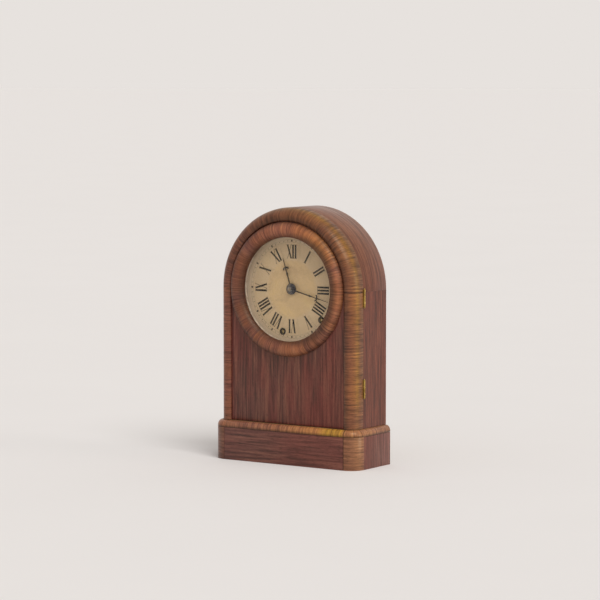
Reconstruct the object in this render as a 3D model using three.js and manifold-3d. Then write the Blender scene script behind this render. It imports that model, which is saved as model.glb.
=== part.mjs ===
// A round-top wooden shelf clock with its door, dial, hands, two-train spring movement, pendulum and gong.
// Millimetres, +Z up. X runs across the clock and -Y is its front. The origin is the middle of its underside.
// Every arbor, wheel, hand and round moulding turns about an axis along Y.

import * as THREE from "three";
import { mergeVertices } from "three/addons/utils/BufferGeometryUtils.js";
import Module from "manifold-3d";

const wasm = await Module();
wasm.setup();

// Clearances
const SEAT_GAP = 0.3; // between a piece and what it sits on
const RUN_GAP = 0.3; // round a turning arbor, on the radius
const TOOTH_GAP = 0.14; // each side of a wheel's tooth

// Case and base
const CASE_WIDTH = 218;
const ARCH_CENTRE_HEIGHT = 234; // the dial, the arch and the centre arbor share this height
const BOARD = 8;
const BACK_BOARD = 5;
const CASE_DEPTH = 56; // behind the door
const DOOR_DEPTH = 22;
const BASE_HEIGHT = 44;
const BASE_LEDGE = 7; // how far the base stands out past the case
const BASE_BOARD = 10;
const BASE_CORNER_RADIUS = 20;
const FLOOR_THICKNESS = 9;
const BLOCK_HEIGHT = 30;

// Door
const STILE_WIDTH = 18;
const STILE_EDGE = 3.4; // the flat strip of the stile's side, next to the case
const PANEL_THICKNESS = 9;
const PANEL_SET_BACK = 3.5; // behind the crest of the arch moulding
const BOTTOM_RAIL_HEIGHT = 16;
const DOOR_OPEN_HEIGHT = 0.6; // the door's clearance over the base
const OPENING_RADIUS = 69.5;
const BEZEL_RADIUS = 90;
const BEZEL_SPIGOT_RADIUS = 80;
const BEZEL_RISE = 8.7; // above the panel
const GLASS_RADIUS = 74;
const GLASS_THICKNESS = 2;
const BEAD_WIDTH = 3.6;

// Hinges and latch
const LOWER_HINGE_RISE = 53; // above the floor board
const UPPER_HINGE_DROP = 8; // below the springing of the arch
const HINGE_LENGTH = 24;
const KNUCKLE_RADIUS = 1.5;
const HINGE_PIN_RADIUS = 0.5;
const LEAF_WIDTH = 13;
const LEAF_THICKNESS = 1;
const LATCH_HEIGHT = 150;
const LATCH_SET_BACK = 10; // the screw, behind the joint of door and case
const LATCH_REACH = 12;

// Dial and hands
const DIAL_RADIUS = 79;
const DIAL_THICKNESS = 1;
const DIAL_ROOM = 17.5; // between the dial and the movement's front plate
const DIAL_FOOT_RADIUS = 2.2;
const MINUTE_ANGLE = 104; // degrees clockwise from twelve
const HOUR_ANGLE = 340;
const MINUTE_HAND_LENGTH = 63;
const HOUR_HAND_LENGTH = 44;
const HAND_THICKNESS = 0.8;
const HOUR_HAND_FORWARD = 1.5; // from the dial's face to the hour hand's back
const MINUTE_HAND_FORWARD = 3.5;
const HAND_BOSS_RADIUS = 6.8;
const WINDING_SQUARE = 3.4;
const GROMMET_RADIUS = 4.8;
const GROMMET_BORE = 3;

// Movement plates
const PLATE_THICKNESS = 2;
const PLATE_GAP = 24; // between the plates
const PLATE_LEFT = -68;
const PLATE_RIGHT = 78;
const PLATE_BOTTOM = -92;
const PLATE_TOP = 66;
const PLATE_CORNER = 9;
const PILLAR_RADIUS = 3;
const ARBOR_RADIUS = 0.9;
const CENTRE_ARBOR_RADIUS = 1.5;
const WINDING_ARBOR_RADIUS = 3;
const WHEEL_THICKNESS = 1.5;

// Places of arbors, measured from the centre arbor: right, up
const CENTRE = [0, 0];
const TIME_MAIN = [47.1, -39.2];
const STRIKE_MAIN = [-14.6, -57.5];
const ESCAPE = [-28, 36];
const TIME_SECOND = [22.5, -18.7];
const STRIKE_SECOND = [-38, -37];
const STRIKE_THIRD = [-46, -11];
const FLY = [-34, 8];
const MINUTE_WHEEL = [10.6, -10.6];
const CENTRE_TO_FOURTH = 26;
const FOURTH_TO_ESCAPE = 25;
const FOURTH = fromTwo(CENTRE, ESCAPE, CENTRE_TO_FOURTH, FOURTH_TO_ESCAPE);
const HAMMER = [-44, -76];
const PILLARS = [
  [-60, 54],
  [70, 52],
  [-60, -84],
  [70, -84],
];
const DIAL_FEET = [
  [-53, 40],
  [58, 34],
  [-53, -34],
  [60, -10],
];

// Escapement and pendulum
const ESCAPE_TEETH = 40;
const ESCAPE_RADIUS = 15;
const PALLET_HALF_ANGLE = 38.25; // half of eight and a half teeth
const VERGE_RISE = ESCAPE_RADIUS / Math.cos((PALLET_HALF_ANGLE * Math.PI) / 180);
const BOB_FLOOR_ROOM = 19;
const PENDULUM_FORWARD = 7; // in front of the front plate
const BOB_RADIUS = 21;
const BOB_THICKNESS = 8;
const ROD_RADIUS = 0.8;
const CRUTCH_LENGTH = 32;

// Gong and hammer
const GONG_RIGHT = 36; // from the middle of the clock
const GONG_FLOOR_ROOM = 13;
const GONG_FORWARD = 8; // in front of the back board
const GONG_RADIUS = 33;
const GONG_WIRE = 1.2;
const GONG_TURNS = 3.5;
const GONG_PITCH = 6.6;

// Planes along Y that follow from the sizes above
const bodyDepth = DOOR_DEPTH + CASE_DEPTH;
const baseFront = -(bodyDepth + BASE_LEDGE) / 2;
const baseBack = -baseFront;
const doorCrest = baseFront + BASE_LEDGE;
const caseFront = doorCrest + DOOR_DEPTH;
const doorBack = caseFront - SEAT_GAP;
const backBoardFront = baseBack - BACK_BOARD;
const panelFront = doorCrest + PANEL_SET_BACK;
const panelBack = panelFront + PANEL_THICKNESS;
const frontPlateBack = 0;
const frontPlateFront = frontPlateBack - PLATE_THICKNESS;
const backPlateFront = frontPlateBack + PLATE_GAP;
const backPlateBack = backPlateFront + PLATE_THICKNESS;
const dialBack = frontPlateFront - DIAL_ROOM;
const dialFront = dialBack - DIAL_THICKNESS;
const hourHandBack = dialFront - HOUR_HAND_FORWARD;
const minuteHandBack = dialFront - MINUTE_HAND_FORWARD;
const floorTop = BASE_HEIGHT + FLOOR_THICKNESS;
const doorBottom = floorTop + DOOR_OPEN_HEIGHT;
const HINGE_HEIGHTS = [floorTop + LOWER_HINGE_RISE, ARCH_CENTRE_HEIGHT - UPPER_HINGE_DROP];
const GONG_CENTRE = [GONG_RIGHT, floorTop + GONG_FLOOR_ROOM + GONG_RADIUS - ARCH_CENTRE_HEIGHT];
const half = CASE_WIDTH / 2;
const insideHalf = half - BOARD;
const doorInner = half - STILE_WIDTH;

const clock = new THREE.Group();

// Finishes
const finish = (color, roughness, metalness) =>
  new THREE.MeshStandardMaterial({ color, roughness, metalness });
const ROSEWOOD = finish(0x7a4433, 0.45, 0);
const CROSSBANDED = finish(0x93592f, 0.4, 0);
const PINE = finish(0xb08a5c, 0.8, 0);
const BRASS = finish(0xb08d3e, 0.35, 1);
const STEEL = finish(0x77797c, 0.35, 1);
const BLUED_STEEL = finish(0x23242b, 0.4, 0.8);
const PAINTED_DIAL = finish(0xd2bd95, 0.6, 0);
const GLASS = finish(0xeef4f2, 0.05, 0);
const IRON = finish(0x3a3632, 0.7, 0.6);

// General helpers

function radians(degrees) {
  return (degrees * Math.PI) / 180;
}

// The point at two stated distances from two points, on the right of the way from the first to the second.
function fromTwo(a, b, fromA, fromB) {
  const across = [b[0] - a[0], b[1] - a[1]];
  const apart = Math.hypot(...across);
  const along = (fromA ** 2 - fromB ** 2 + apart ** 2) / (2 * apart);
  const aside = Math.sqrt(fromA ** 2 - along ** 2);
  const [ux, uz] = [across[0] / apart, across[1] / apart];
  return [a[0] + ux * along + uz * aside, a[1] + uz * along - ux * aside];
}

function distance(a, b) {
  return Math.hypot(b[0] - a[0], b[1] - a[1]);
}

function direction(a, b) {
  return Math.atan2(b[1] - a[1], b[0] - a[0]);
}

function add(name, geometry, material) {
  const mesh = new THREE.Mesh(geometry, material);
  mesh.name = name;
  clock.add(mesh);
}

function toSolid(geometry) {
  const bare = geometry.clone();
  bare.deleteAttribute("normal");
  bare.deleteAttribute("uv");
  const merged = mergeVertices(bare, 1e-4);
  const index = merged.index.array;
  const kept = [];
  for (let i = 0; i < index.length; i += 3) {
    const [a, b, c] = [index[i], index[i + 1], index[i + 2]];
    if (a !== b && b !== c && c !== a) kept.push(a, b, c);
  }
  return new wasm.Manifold(
    new wasm.Mesh({
      numProp: 3,
      vertProperties: new Float32Array(merged.attributes.position.array),
      triVerts: new Uint32Array(kept),
    }),
  );
}

function toGeometry(solid) {
  const mesh = solid.getMesh();
  const geometry = new THREE.BufferGeometry();
  geometry.setAttribute("position", new THREE.BufferAttribute(new Float32Array(mesh.vertProperties), 3));
  geometry.setIndex(new THREE.BufferAttribute(new Uint32Array(mesh.triVerts), 1));
  return geometry;
}

// Solids joined into one, less the ones to cut away.
function made(joined, cuts = []) {
  const whole = joined.map(toSolid).reduce((sum, next) => sum.add(next));
  return toGeometry(cuts.map(toSolid).reduce((left, next) => left.subtract(next), whole));
}

function box(x0, x1, y0, y1, z0, z1) {
  const block = new THREE.BoxGeometry(x1 - x0, y1 - y0, z1 - z0);
  return block.translate((x0 + x1) / 2, (y0 + y1) / 2, (z0 + z1) / 2);
}

// A flat outline, drawn as seen from the front, with its thickness along Y.
function slab(shape, y0, y1, curveSegments = 12) {
  const geometry = new THREE.ExtrudeGeometry(shape, { depth: y1 - y0, bevelEnabled: false, curveSegments });
  return geometry.rotateX(Math.PI / 2).translate(0, y1, 0);
}

// A flat outline drawn as seen from above, with its thickness along Z.
function layer(shape, z0, z1, curveSegments = 8) {
  const geometry = new THREE.ExtrudeGeometry(shape, { depth: z1 - z0, bevelEnabled: false, curveSegments });
  return geometry.translate(0, 0, z0);
}

// A piece turned about an axis along Y at a place on the dial's grid.
// The profile holds [radius, y], anticlockwise.
function turned(profile, [right, up], segments = 24) {
  const points = profile.map(([r, y]) => new THREE.Vector2(r, y));
  const onAxis = profile[0][0] === 0 && profile.at(-1)[0] === 0;
  if (!onAxis) points.push(points[0].clone());
  return new THREE.LatheGeometry(points, segments).translate(right, 0, ARCH_CENTRE_HEIGHT + up);
}

function rod(radius, y0, y1, place, segments = 12) {
  return turned([[0, y0], [radius, y0], [radius, y1], [0, y1]], place, segments);
}

function ring(inner, outer, y0, y1, place, segments = 24) {
  return turned([[inner, y0], [outer, y0], [outer, y1], [inner, y1]], place, segments);
}

// A closed skin over rings of points, each ring with the same number of points and a convex outline.
function skin(rings) {
  const count = rings[0].length;
  const index = [];
  for (let i = 0; i < rings.length - 1; i++) {
    for (let j = 0; j < count; j++) {
      const a = i * count + j;
      const b = i * count + ((j + 1) % count);
      index.push(a, b, a + count, b, b + count, a + count);
    }
  }
  const last = (rings.length - 1) * count;
  for (const triangle of THREE.ShapeUtils.triangulateShape(flatten(rings[0]), [])) {
    const [a, b, c] = triangle;
    index.push(a, c, b, last + a, last + b, last + c);
  }
  const geometry = new THREE.BufferGeometry();
  geometry.setAttribute("position", new THREE.Float32BufferAttribute(rings.flat(2), 3));
  geometry.setIndex(index);
  const solid = toSolid(geometry);
  if (solid.volume() > 0) return geometry;
  const turnedRound = [];
  for (let i = 0; i < index.length; i += 3) turnedRound.push(index[i], index[i + 2], index[i + 1]);
  geometry.setIndex(turnedRound);
  return geometry;
}

// A ring of points laid out on its own plane, for its end cap.
function flatten(points) {
  const [origin, next] = [new THREE.Vector3(...points[0]), new THREE.Vector3(...points[1])];
  const u = next.clone().sub(origin).normalize();
  const far = points.map((p) => new THREE.Vector3(...p).sub(origin));
  const offLine = (p) => new THREE.Vector3().crossVectors(u, p).length();
  const widest = far.reduce((best, p) => (offLine(p) > offLine(best) ? p : best));
  const normal = new THREE.Vector3().crossVectors(u, widest).normalize();
  const v = new THREE.Vector3().crossVectors(normal, u);
  return far.map((p) => new THREE.Vector2(p.dot(u), p.dot(v)));
}

// Points on an ellipse's arc, from one angle to another in degrees.
function arc(centreA, centreB, radiusA, radiusB, from, to, steps) {
  return Array.from({ length: steps + 1 }, (_, i) => {
    const t = radians(from + ((to - from) * i) / steps);
    return [centreA + radiusA * Math.cos(t), centreB + radiusB * Math.sin(t)];
  });
}

function shapeOf(points) {
  return new THREE.Shape(points.map((p) => new THREE.Vector2(...p)));
}

// A wire of even thickness through a list of points.
function wire(points, radius, sides = 6, steps = 24) {
  const places = points.map((p) => new THREE.Vector3(...p));
  const curve = new THREE.CatmullRomCurve3(places, false, "catmullrom", 0.2);
  const section = shapeOf(arc(0, 0, radius, radius, 0, 360 - 360 / sides, sides - 1));
  return new THREE.ExtrudeGeometry(section, { steps, bevelEnabled: false, extrudePath: curve });
}

// The outline of the round-topped front, from its bottom to the top of its arch.
function archOutline(radius, bottom, steps = 24) {
  const outline = new THREE.Shape();
  outline.moveTo(-radius, bottom);
  outline.lineTo(radius, bottom);
  for (const [x, z] of arc(0, ARCH_CENTRE_HEIGHT, radius, radius, 0, 180, steps)) outline.lineTo(x, z);
  outline.closePath();
  return outline;
}

function circleHole(x, z, radius, steps = 10) {
  const points = arc(x, z, radius, radius, 0, 360 - 360 / steps, steps - 1);
  return new THREE.Path(points.map((p) => new THREE.Vector2(...p)));
}

// Base: a hollow plinth of boards with rounded front corners, and a quarter-round on its top edge

const baseHalf = half + BASE_LEDGE;
const cornerStart = baseHalf - BASE_CORNER_RADIUS;

function baseSide(side) {
  const outline = new THREE.Shape();
  const radius = BASE_CORNER_RADIUS;
  const frontCorner = arc(cornerStart, baseFront + radius, radius, radius, -90, 0, 6);
  outline.moveTo(cornerStart + SEAT_GAP, baseFront + BASE_BOARD);
  outline.lineTo(cornerStart + SEAT_GAP, frontCorner[0][1]);
  for (const [x, y] of frontCorner.slice(1)) outline.lineTo(x, y);
  outline.lineTo(baseHalf, baseBack);
  outline.lineTo(baseHalf - BASE_BOARD, baseBack);
  outline.lineTo(baseHalf - BASE_BOARD, baseFront + BASE_BOARD * 2);
  outline.closePath();
  return mirrored(layer(outline, 0, BASE_HEIGHT - SEAT_GAP), side);
}

// The geometry as it is on the right side, or its mirror image on the left.
function mirrored(geometry, side) {
  if (side > 0) return geometry;
  const solid = toSolid(geometry).mirror([1, 0, 0]);
  return toGeometry(solid);
}

// The quarter-round's section: [out from the case, up from the base]
function quarterRound() {
  const rise = FLOOR_THICKNESS;
  const round = arc(SEAT_GAP, 1.2, BASE_LEDGE - SEAT_GAP, rise - 1.2, 8, 86, 4);
  return [[SEAT_GAP, 0], [BASE_LEDGE, 0], ...round, [SEAT_GAP, rise]];
}

function baseMouldingSide(side) {
  const section = quarterRound();
  const inner = BASE_CORNER_RADIUS - BASE_LEDGE;
  const centreY = baseFront + BASE_CORNER_RADIUS;
  const rings = arc(0, 0, 1, 1, -90, 0, 6).map(([c, s]) =>
    section.map(([out, up]) => {
      const reach = inner + out;
      return [cornerStart + c * reach, centreY + s * reach, BASE_HEIGHT + up];
    }),
  );
  rings[0] = rings[0].map(([, y, z]) => [cornerStart + SEAT_GAP, y, z]);
  rings.push(section.map(([out, up]) => [half + out, baseBack, BASE_HEIGHT + up]));
  return mirrored(skin(rings), side);
}

function baseMouldingFront() {
  const section = quarterRound();
  const ends = [-cornerStart, cornerStart];
  return skin(ends.map((x) => section.map(([out, up]) => [x, doorCrest - out, BASE_HEIGHT + up])));
}

function floorBoard() {
  const outline = new THREE.Shape();
  const corner = BASE_CORNER_RADIUS - BASE_LEDGE;
  outline.moveTo(-half, baseBack);
  const leftCorner = arc(-cornerStart, doorCrest + corner, corner, corner, 180, 270, 6);
  const rightCorner = arc(cornerStart, doorCrest + corner, corner, corner, 270, 360, 6);
  for (const [x, y] of [...leftCorner, ...rightCorner]) outline.lineTo(x, y);
  outline.lineTo(half, baseBack);
  outline.closePath();
  return layer(outline, BASE_HEIGHT, floorTop);
}

const boardTop = BASE_HEIGHT - SEAT_GAP;
add("base_front", box(-cornerStart, cornerStart, baseFront, baseFront + BASE_BOARD, 0, boardTop), ROSEWOOD);
add("base_side_left", baseSide(-1), ROSEWOOD);
add("base_side_right", baseSide(1), ROSEWOOD);
add("base_moulding_front", baseMouldingFront(), CROSSBANDED);
add("base_moulding_left", baseMouldingSide(-1), CROSSBANDED);
add("base_moulding_right", baseMouldingSide(1), CROSSBANDED);
add("floor_board", floorBoard(), PINE);
const baseInner = baseHalf - BASE_BOARD - SEAT_GAP;
const railBottom = BASE_HEIGHT - BLOCK_HEIGHT;
add("base_back_rail", box(-baseInner, baseInner, baseBack - BASE_BOARD, baseBack, railBottom, boardTop), PINE);

// Case: two side boards, a bent arch and an inset back board

const caseTopCut = ARCH_CENTRE_HEIGHT - SEAT_GAP;

function caseSide(side) {
  return mirrored(box(insideHalf, half, caseFront, baseBack, floorTop + SEAT_GAP, caseTopCut), side);
}

function caseArch() {
  const section = [[insideHalf, caseFront], [half, caseFront], [half, baseBack], [insideHalf, baseBack]];
  return archSweep(section, 24);
}

// A section of [radius, y] carried round the half circle of the arch.
function archSweep(section, steps) {
  const rings = arc(0, 0, 1, 1, 0, 180, steps).map(([c, s]) =>
    section.map(([r, y]) => [r * c, y, ARCH_CENTRE_HEIGHT + r * s]),
  );
  return skin(rings);
}

const backOutline = archOutline(insideHalf - SEAT_GAP - 0.6, floorTop + SEAT_GAP);
add("back_board", slab(backOutline, backBoardFront, baseBack), PINE);

// Door: stiles and arch with a cushion moulding, a flat panel, a turned bezel and its glass

// [across, y]: the moulding rolls from a flat edge beside the case over its crest and down to the panel.
function cushionSection() {
  const crestAcross = doorInner + STILE_WIDTH / 3;
  const edgeY = doorBack - STILE_EDGE;
  const outer = arc(crestAcross, edgeY, half - crestAcross, edgeY - doorCrest, 0, -90, 5);
  const quirk = panelFront - 0.8;
  const inner = arc(crestAcross, quirk, crestAcross - doorInner, quirk - doorCrest, -90, -170, 2).slice(1);
  return [[doorInner, doorBack], [half, doorBack], ...outer, ...inner, [doorInner, quirk]];
}

function stile(side) {
  const section = cushionSection();
  const rings = [doorBottom, ARCH_CENTRE_HEIGHT - SEAT_GAP].map((z) => section.map(([x, y]) => [x, y, z]));
  return mirrored(skin(rings), side);
}

function doorPanel() {
  const outline = archOutline(doorInner - SEAT_GAP, doorBottom);
  outline.holes.push(circleHole(0, ARCH_CENTRE_HEIGHT, BEZEL_SPIGOT_RADIUS + SEAT_GAP, 36));
  return slab(outline, panelFront, panelBack);
}

function bezel() {
  const seat = panelFront - SEAT_GAP;
  const crest = panelFront - BEZEL_RISE;
  const crestRadius = (BEZEL_RADIUS + OPENING_RADIUS) / 2 + 1;
  const glassSeat = panelFront + 1.4;
  const rebate = GLASS_RADIUS + SEAT_GAP;
  const outer = arc(crestRadius, seat, BEZEL_RADIUS - crestRadius, seat - crest, 0, -90, 4).reverse();
  const inner = arc(crestRadius, seat + 0.4, crestRadius - OPENING_RADIUS, seat + 0.4 - crest, -168, -90, 3);
  const profile = [
    [OPENING_RADIUS, glassSeat],
    ...inner.slice(0, -1),
    ...outer,
    [BEZEL_SPIGOT_RADIUS, seat],
    [BEZEL_SPIGOT_RADIUS, panelBack - 0.6],
    [rebate, panelBack - 0.6],
    [rebate, glassSeat],
  ];
  return { geometry: turned(profile, CENTRE, 36), glassSeat };
}

const dialBezel = bezel();
const glassFront = dialBezel.glassSeat + SEAT_GAP;
const glassBack = glassFront + GLASS_THICKNESS;
const beadOuter = GLASS_RADIUS - 0.2;

// Hinges: the leaves are let into the door's back and the case's front, and the knuckles stand outside

const hingeX = half + KNUCKLE_RADIUS + SEAT_GAP;
const hingeY = (caseFront + doorBack) / 2;

function upright(radius, x, y, z0, z1, segments = 10) {
  const profile = [[0, z0], [radius, z0], [radius, z1], [0, z1]].map(([r, z]) => new THREE.Vector2(r, z));
  return new THREE.LatheGeometry(profile, segments).rotateX(Math.PI / 2).translate(x, y, 0);
}

// The leaf of one hinge: its plate, and those of the three knuckles that are its own.
function hingeLeaf(height, knuckles, plateY) {
  const third = HINGE_LENGTH / 3;
  const bottom = height - HINGE_LENGTH / 2;
  const own = knuckles.map((k) =>
    upright(KNUCKLE_RADIUS, hingeX, hingeY, bottom + k * third + 0.15, bottom + (k + 1) * third - 0.15),
  );
  const others = [0, 1, 2].filter((k) => !knuckles.includes(k)).map((k) =>
    upright(KNUCKLE_RADIUS + 0.3, hingeX, hingeY, bottom + k * third - 0.15, bottom + (k + 1) * third + 0.15),
  );
  const top = bottom + HINGE_LENGTH;
  const plate = box(hingeX - LEAF_WIDTH, hingeX, plateY, plateY + LEAF_THICKNESS, bottom, top);
  const plateOnly = made([plate], others);
  const bore = upright(HINGE_PIN_RADIUS + 0.2, hingeX, hingeY, bottom - 1, bottom + HINGE_LENGTH + 1, 6);
  return made([plateOnly, ...own], [bore]);
}

const doorLeafY = hingeY - 0.1 - LEAF_THICKNESS;
const caseLeafY = hingeY + 0.1;
const leafBed = (plateY) =>
  HINGE_HEIGHTS.map((z) =>
    box(hingeX - LEAF_WIDTH - SEAT_GAP, half + 1, plateY - SEAT_GAP, plateY + LEAF_THICKNESS + SEAT_GAP,
      z - HINGE_LENGTH / 2 - SEAT_GAP, z + HINGE_LENGTH / 2 + SEAT_GAP),
  );

function hingePin(height) {
  const reach = HINGE_LENGTH / 2;
  const ends = 1.4;
  const profile = [
    [0, -reach - ends], [0.7, -reach - ends * 0.8], [1, -reach - ends * 0.4],
    [HINGE_PIN_RADIUS, -reach - 0.1], [HINGE_PIN_RADIUS, reach + 0.1],
    [1, reach + ends * 0.4], [0.7, reach + ends * 0.8], [0, reach + ends],
  ].map(([r, z]) => new THREE.Vector2(r, z));
  return new THREE.LatheGeometry(profile, 6).rotateX(Math.PI / 2).translate(hingeX, hingeY, height);
}

add("case_arch", made([caseArch()], leafBed(caseLeafY)), ROSEWOOD);
add("arch_moulding", made([archSweep(cushionSection(), 24)], leafBed(doorLeafY)), CROSSBANDED);
add("stile_right", made([stile(1)], leafBed(doorLeafY)), CROSSBANDED);
add("door_panel", doorPanel(), ROSEWOOD);
const railHalf = doorInner - SEAT_GAP;
const railTop = doorBottom + BOTTOM_RAIL_HEIGHT;
const bottomRail = box(-railHalf, railHalf, panelBack + SEAT_GAP, doorBack, doorBottom, railTop);
add("door_bottom_rail", bottomRail, ROSEWOOD);
add("dial_bezel", dialBezel.geometry, CROSSBANDED);
add("door_glass", rod(GLASS_RADIUS, glassFront, glassBack, CENTRE, 36), GLASS);
const beadInner = beadOuter - BEAD_WIDTH;
add("glass_bead", ring(beadInner, beadOuter, glassBack + SEAT_GAP, panelBack - 0.6, CENTRE, 36), PINE);
for (const [place, height] of [["lower", HINGE_HEIGHTS[0]], ["upper", HINGE_HEIGHTS[1]]]) {
  add(`hinge_${place}_door_leaf`, hingeLeaf(height, [1], doorLeafY), BRASS);
  add(`hinge_${place}_case_leaf`, hingeLeaf(height, [0, 2], caseLeafY), BRASS);
  add(`hinge_${place}_pin`, hingePin(height), BRASS);
}

// Latch: a brass hook on a screw in the case's left side, which swings over the top onto a pin in the door

const latchY = caseFront + LATCH_SET_BACK;
const latchPinY = latchY - LATCH_REACH;

function acrossRod(radius, x0, x1, y, z, segments = 12) {
  const profile = [[0, x0], [radius, x0], [radius, x1], [0, x1]].map(([r, x]) => new THREE.Vector2(r, x));
  return new THREE.LatheGeometry(profile, segments).rotateZ(-Math.PI / 2).translate(0, y, z);
}

// The hook as it hangs: its eye is on the screw, and its throat opens to the back.
function latchHook() {
  const throat = 1.2;
  const width = 2;
  const eye = arc(0, 0, 3.2, 3.2, -112, 195, 16);
  const outer = arc(0, -LATCH_REACH, throat + width, throat + width, 180, 320, 8);
  const inner = arc(0, -LATCH_REACH, throat, throat, 320, 180, 8);
  const outline = new THREE.Shape([...eye, ...outer, ...inner].map((p) => new THREE.Vector2(...p)));
  outline.holes.push(circleHole(0, 0, 1.5, 12));
  const plate = new THREE.ExtrudeGeometry(outline, { depth: 1.2, bevelEnabled: false });
  return plate.rotateX(Math.PI / 2).rotateZ(Math.PI / 2).translate(-half - 0.4 - 1.2, latchY, LATCH_HEIGHT);
}

function latchScrew() {
  const headFrom = -half - 0.4 - 1.2 - SEAT_GAP;
  return made([
    acrossRod(1.2, headFrom - 0.5, -half + 5, latchY, LATCH_HEIGHT),
    acrossRod(2.5, headFrom - 1.2, headFrom, latchY, LATCH_HEIGHT),
  ]);
}

const screwHole = acrossRod(1.5, -half - 1, -half + 5.3, latchY, LATCH_HEIGHT);
const pinHole = acrossRod(1, -half - 1, -half + 5.3, latchPinY, LATCH_HEIGHT);
add("case_side_left", made([caseSide(-1)], [screwHole]), ROSEWOOD);
add("case_side_right", made([caseSide(1)], leafBed(caseLeafY)), ROSEWOOD);
add("stile_left", made([stile(-1)], [pinHole]), CROSSBANDED);
add("latch_hook", latchHook(), BRASS);
add("latch_screw", latchScrew(), BRASS);
add("latch_pin", acrossRod(0.7, -half - 2.6, -half + 5, latchPinY, LATCH_HEIGHT, 8), BRASS);

// Dial: a painted iron disc on four feet, with a grommet in each winding hole

function dialPlate() {
  const disc = shapeOf(arc(0, ARCH_CENTRE_HEIGHT, DIAL_RADIUS, DIAL_RADIUS, 0, 350, 35));
  disc.holes.push(circleHole(0, ARCH_CENTRE_HEIGHT, 4.8, 12));
  for (const [x, z] of [TIME_MAIN, STRIKE_MAIN]) {
    disc.holes.push(circleHole(x, ARCH_CENTRE_HEIGHT + z, GROMMET_RADIUS - 0.5, 12));
  }
  const shoulder = frontPlateFront - SEAT_GAP;
  const footEnd = frontPlateBack + 2.5;
  const profile = [
    [0, dialFront + 0.3], [DIAL_FOOT_RADIUS, dialFront + 0.3], [DIAL_FOOT_RADIUS, shoulder],
    [1, shoulder], [1, footEnd], [0, footEnd],
  ];
  const feet = DIAL_FEET.map((foot) => turned(profile, foot, 8));
  return made([slab(disc, dialFront, dialBack), ...feet]);
}

function grommet(place) {
  const shank = GROMMET_RADIUS - 0.9;
  const flange = dialFront - SEAT_GAP;
  const lip = flange - 0.7;
  const profile = [
    [GROMMET_BORE, lip], [GROMMET_RADIUS - 0.3, lip], [GROMMET_RADIUS, flange - 0.3], [GROMMET_RADIUS, flange],
    [shank, flange], [shank, dialBack + 1], [GROMMET_BORE, dialBack + 1],
  ];
  return turned(profile, place, 12);
}

add("dial_plate", dialPlate(), PAINTED_DIAL);
add("grommet_time", grommet(TIME_MAIN), IRON);
add("grommet_strike", grommet(STRIKE_MAIN), IRON);

// Hands: slender blades with a swell, a crescent that hooks back and a fine point, drawn upright and turned

function handOutline(length, crescent, boss, swell) {
  const stem = 0.9;
  const neck = Math.asin(stem / boss) * (180 / Math.PI);
  const half = [
    ...arc(0, 0, boss, boss, 0, 90 - neck, 7),
    [stem * 0.85, swell - 2.6], [1.4, swell], [stem * 0.75, swell + 2.6],
    [0.5, crescent - 2.2], [1.7, crescent - 1.9], [2.8, crescent - 2.6],
    [3.9, crescent - 4], [3.7, crescent - 2], [2.4, crescent - 0.5],
    [0.7, crescent + 0.4], [0.45, crescent + 5], [0.2, length],
  ];
  const tail = arc(0, 0, boss, boss, -90, 0, 7).slice(0, -1);
  const right = [...tail, ...half];
  const left = right.slice(1).reverse().map(([x, z]) => [-x, z]);
  return [...right, ...left];
}

function hand(points, angle, back, bore) {
  const outline = new THREE.Shape(points.map((p) => new THREE.Vector2(...p)));
  outline.holes.push(circleHole(0, 0, bore, 12));
  const blade = slab(outline, back - HAND_THICKNESS, back);
  return blade.rotateY(radians(angle)).translate(0, 0, ARCH_CENTRE_HEIGHT);
}

const HOUR_PIPE = 3.1;
const hourOutline = handOutline(HOUR_HAND_LENGTH, 30.5, HAND_BOSS_RADIUS, 21);
const minuteOutline = handOutline(MINUTE_HAND_LENGTH, 44, HAND_BOSS_RADIUS - 1.8, 32);
add("hour_hand", hand(hourOutline, HOUR_ANGLE, hourHandBack, HOUR_PIPE + 0.3), BLUED_STEEL);
add("minute_hand", hand(minuteOutline, MINUTE_ANGLE, minuteHandBack, CENTRE_ARBOR_RADIUS + 0.3), BLUED_STEEL);
const nutBack = minuteHandBack - HAND_THICKNESS - SEAT_GAP;
add("hand_nut", ring(CENTRE_ARBOR_RADIUS + 0.3, 3, nutBack - 1.5, nutBack, CENTRE, 16), BRASS);

// Movement plates: the four pillars are riveted into the back plate, and their ends carry the front plate

function plateOutline(holes) {
  const corner = (x, z, from) => arc(x, z, PLATE_CORNER, PLATE_CORNER, from, from + 90, 3);
  const [left, right] = [PLATE_LEFT + PLATE_CORNER, PLATE_RIGHT - PLATE_CORNER];
  const [bottom, top] = [PLATE_BOTTOM + PLATE_CORNER, PLATE_TOP - PLATE_CORNER];
  const points = [
    ...corner(right, bottom, 270), ...corner(right, top, 0),
    ...corner(left, top, 90), ...corner(left, bottom, 180),
  ];
  const outline = new THREE.Shape(points.map(([x, z]) => new THREE.Vector2(x, z + ARCH_CENTRE_HEIGHT)));
  for (const [[x, z], radius] of holes) {
    outline.holes.push(circleHole(x, z + ARCH_CENTRE_HEIGHT, radius * 1.08, 6));
  }
  return outline;
}

const pivotHole = ARBOR_RADIUS + RUN_GAP;
const trainPivots = [TIME_SECOND, FOURTH, ESCAPE, STRIKE_SECOND, STRIKE_THIRD, FLY, HAMMER];
const trainHoles = trainPivots.map((p) => [p, pivotHole]);
const windingHoles = [TIME_MAIN, STRIKE_MAIN].map((p) => [p, WINDING_ARBOR_RADIUS + RUN_GAP]);
const VERGE = [ESCAPE[0], ESCAPE[1] + VERGE_RISE];
const vergeY = frontPlateFront - 3; // the middle of the escape wheel and the pallets
const rodY = frontPlateFront - PENDULUM_FORWARD;

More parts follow.
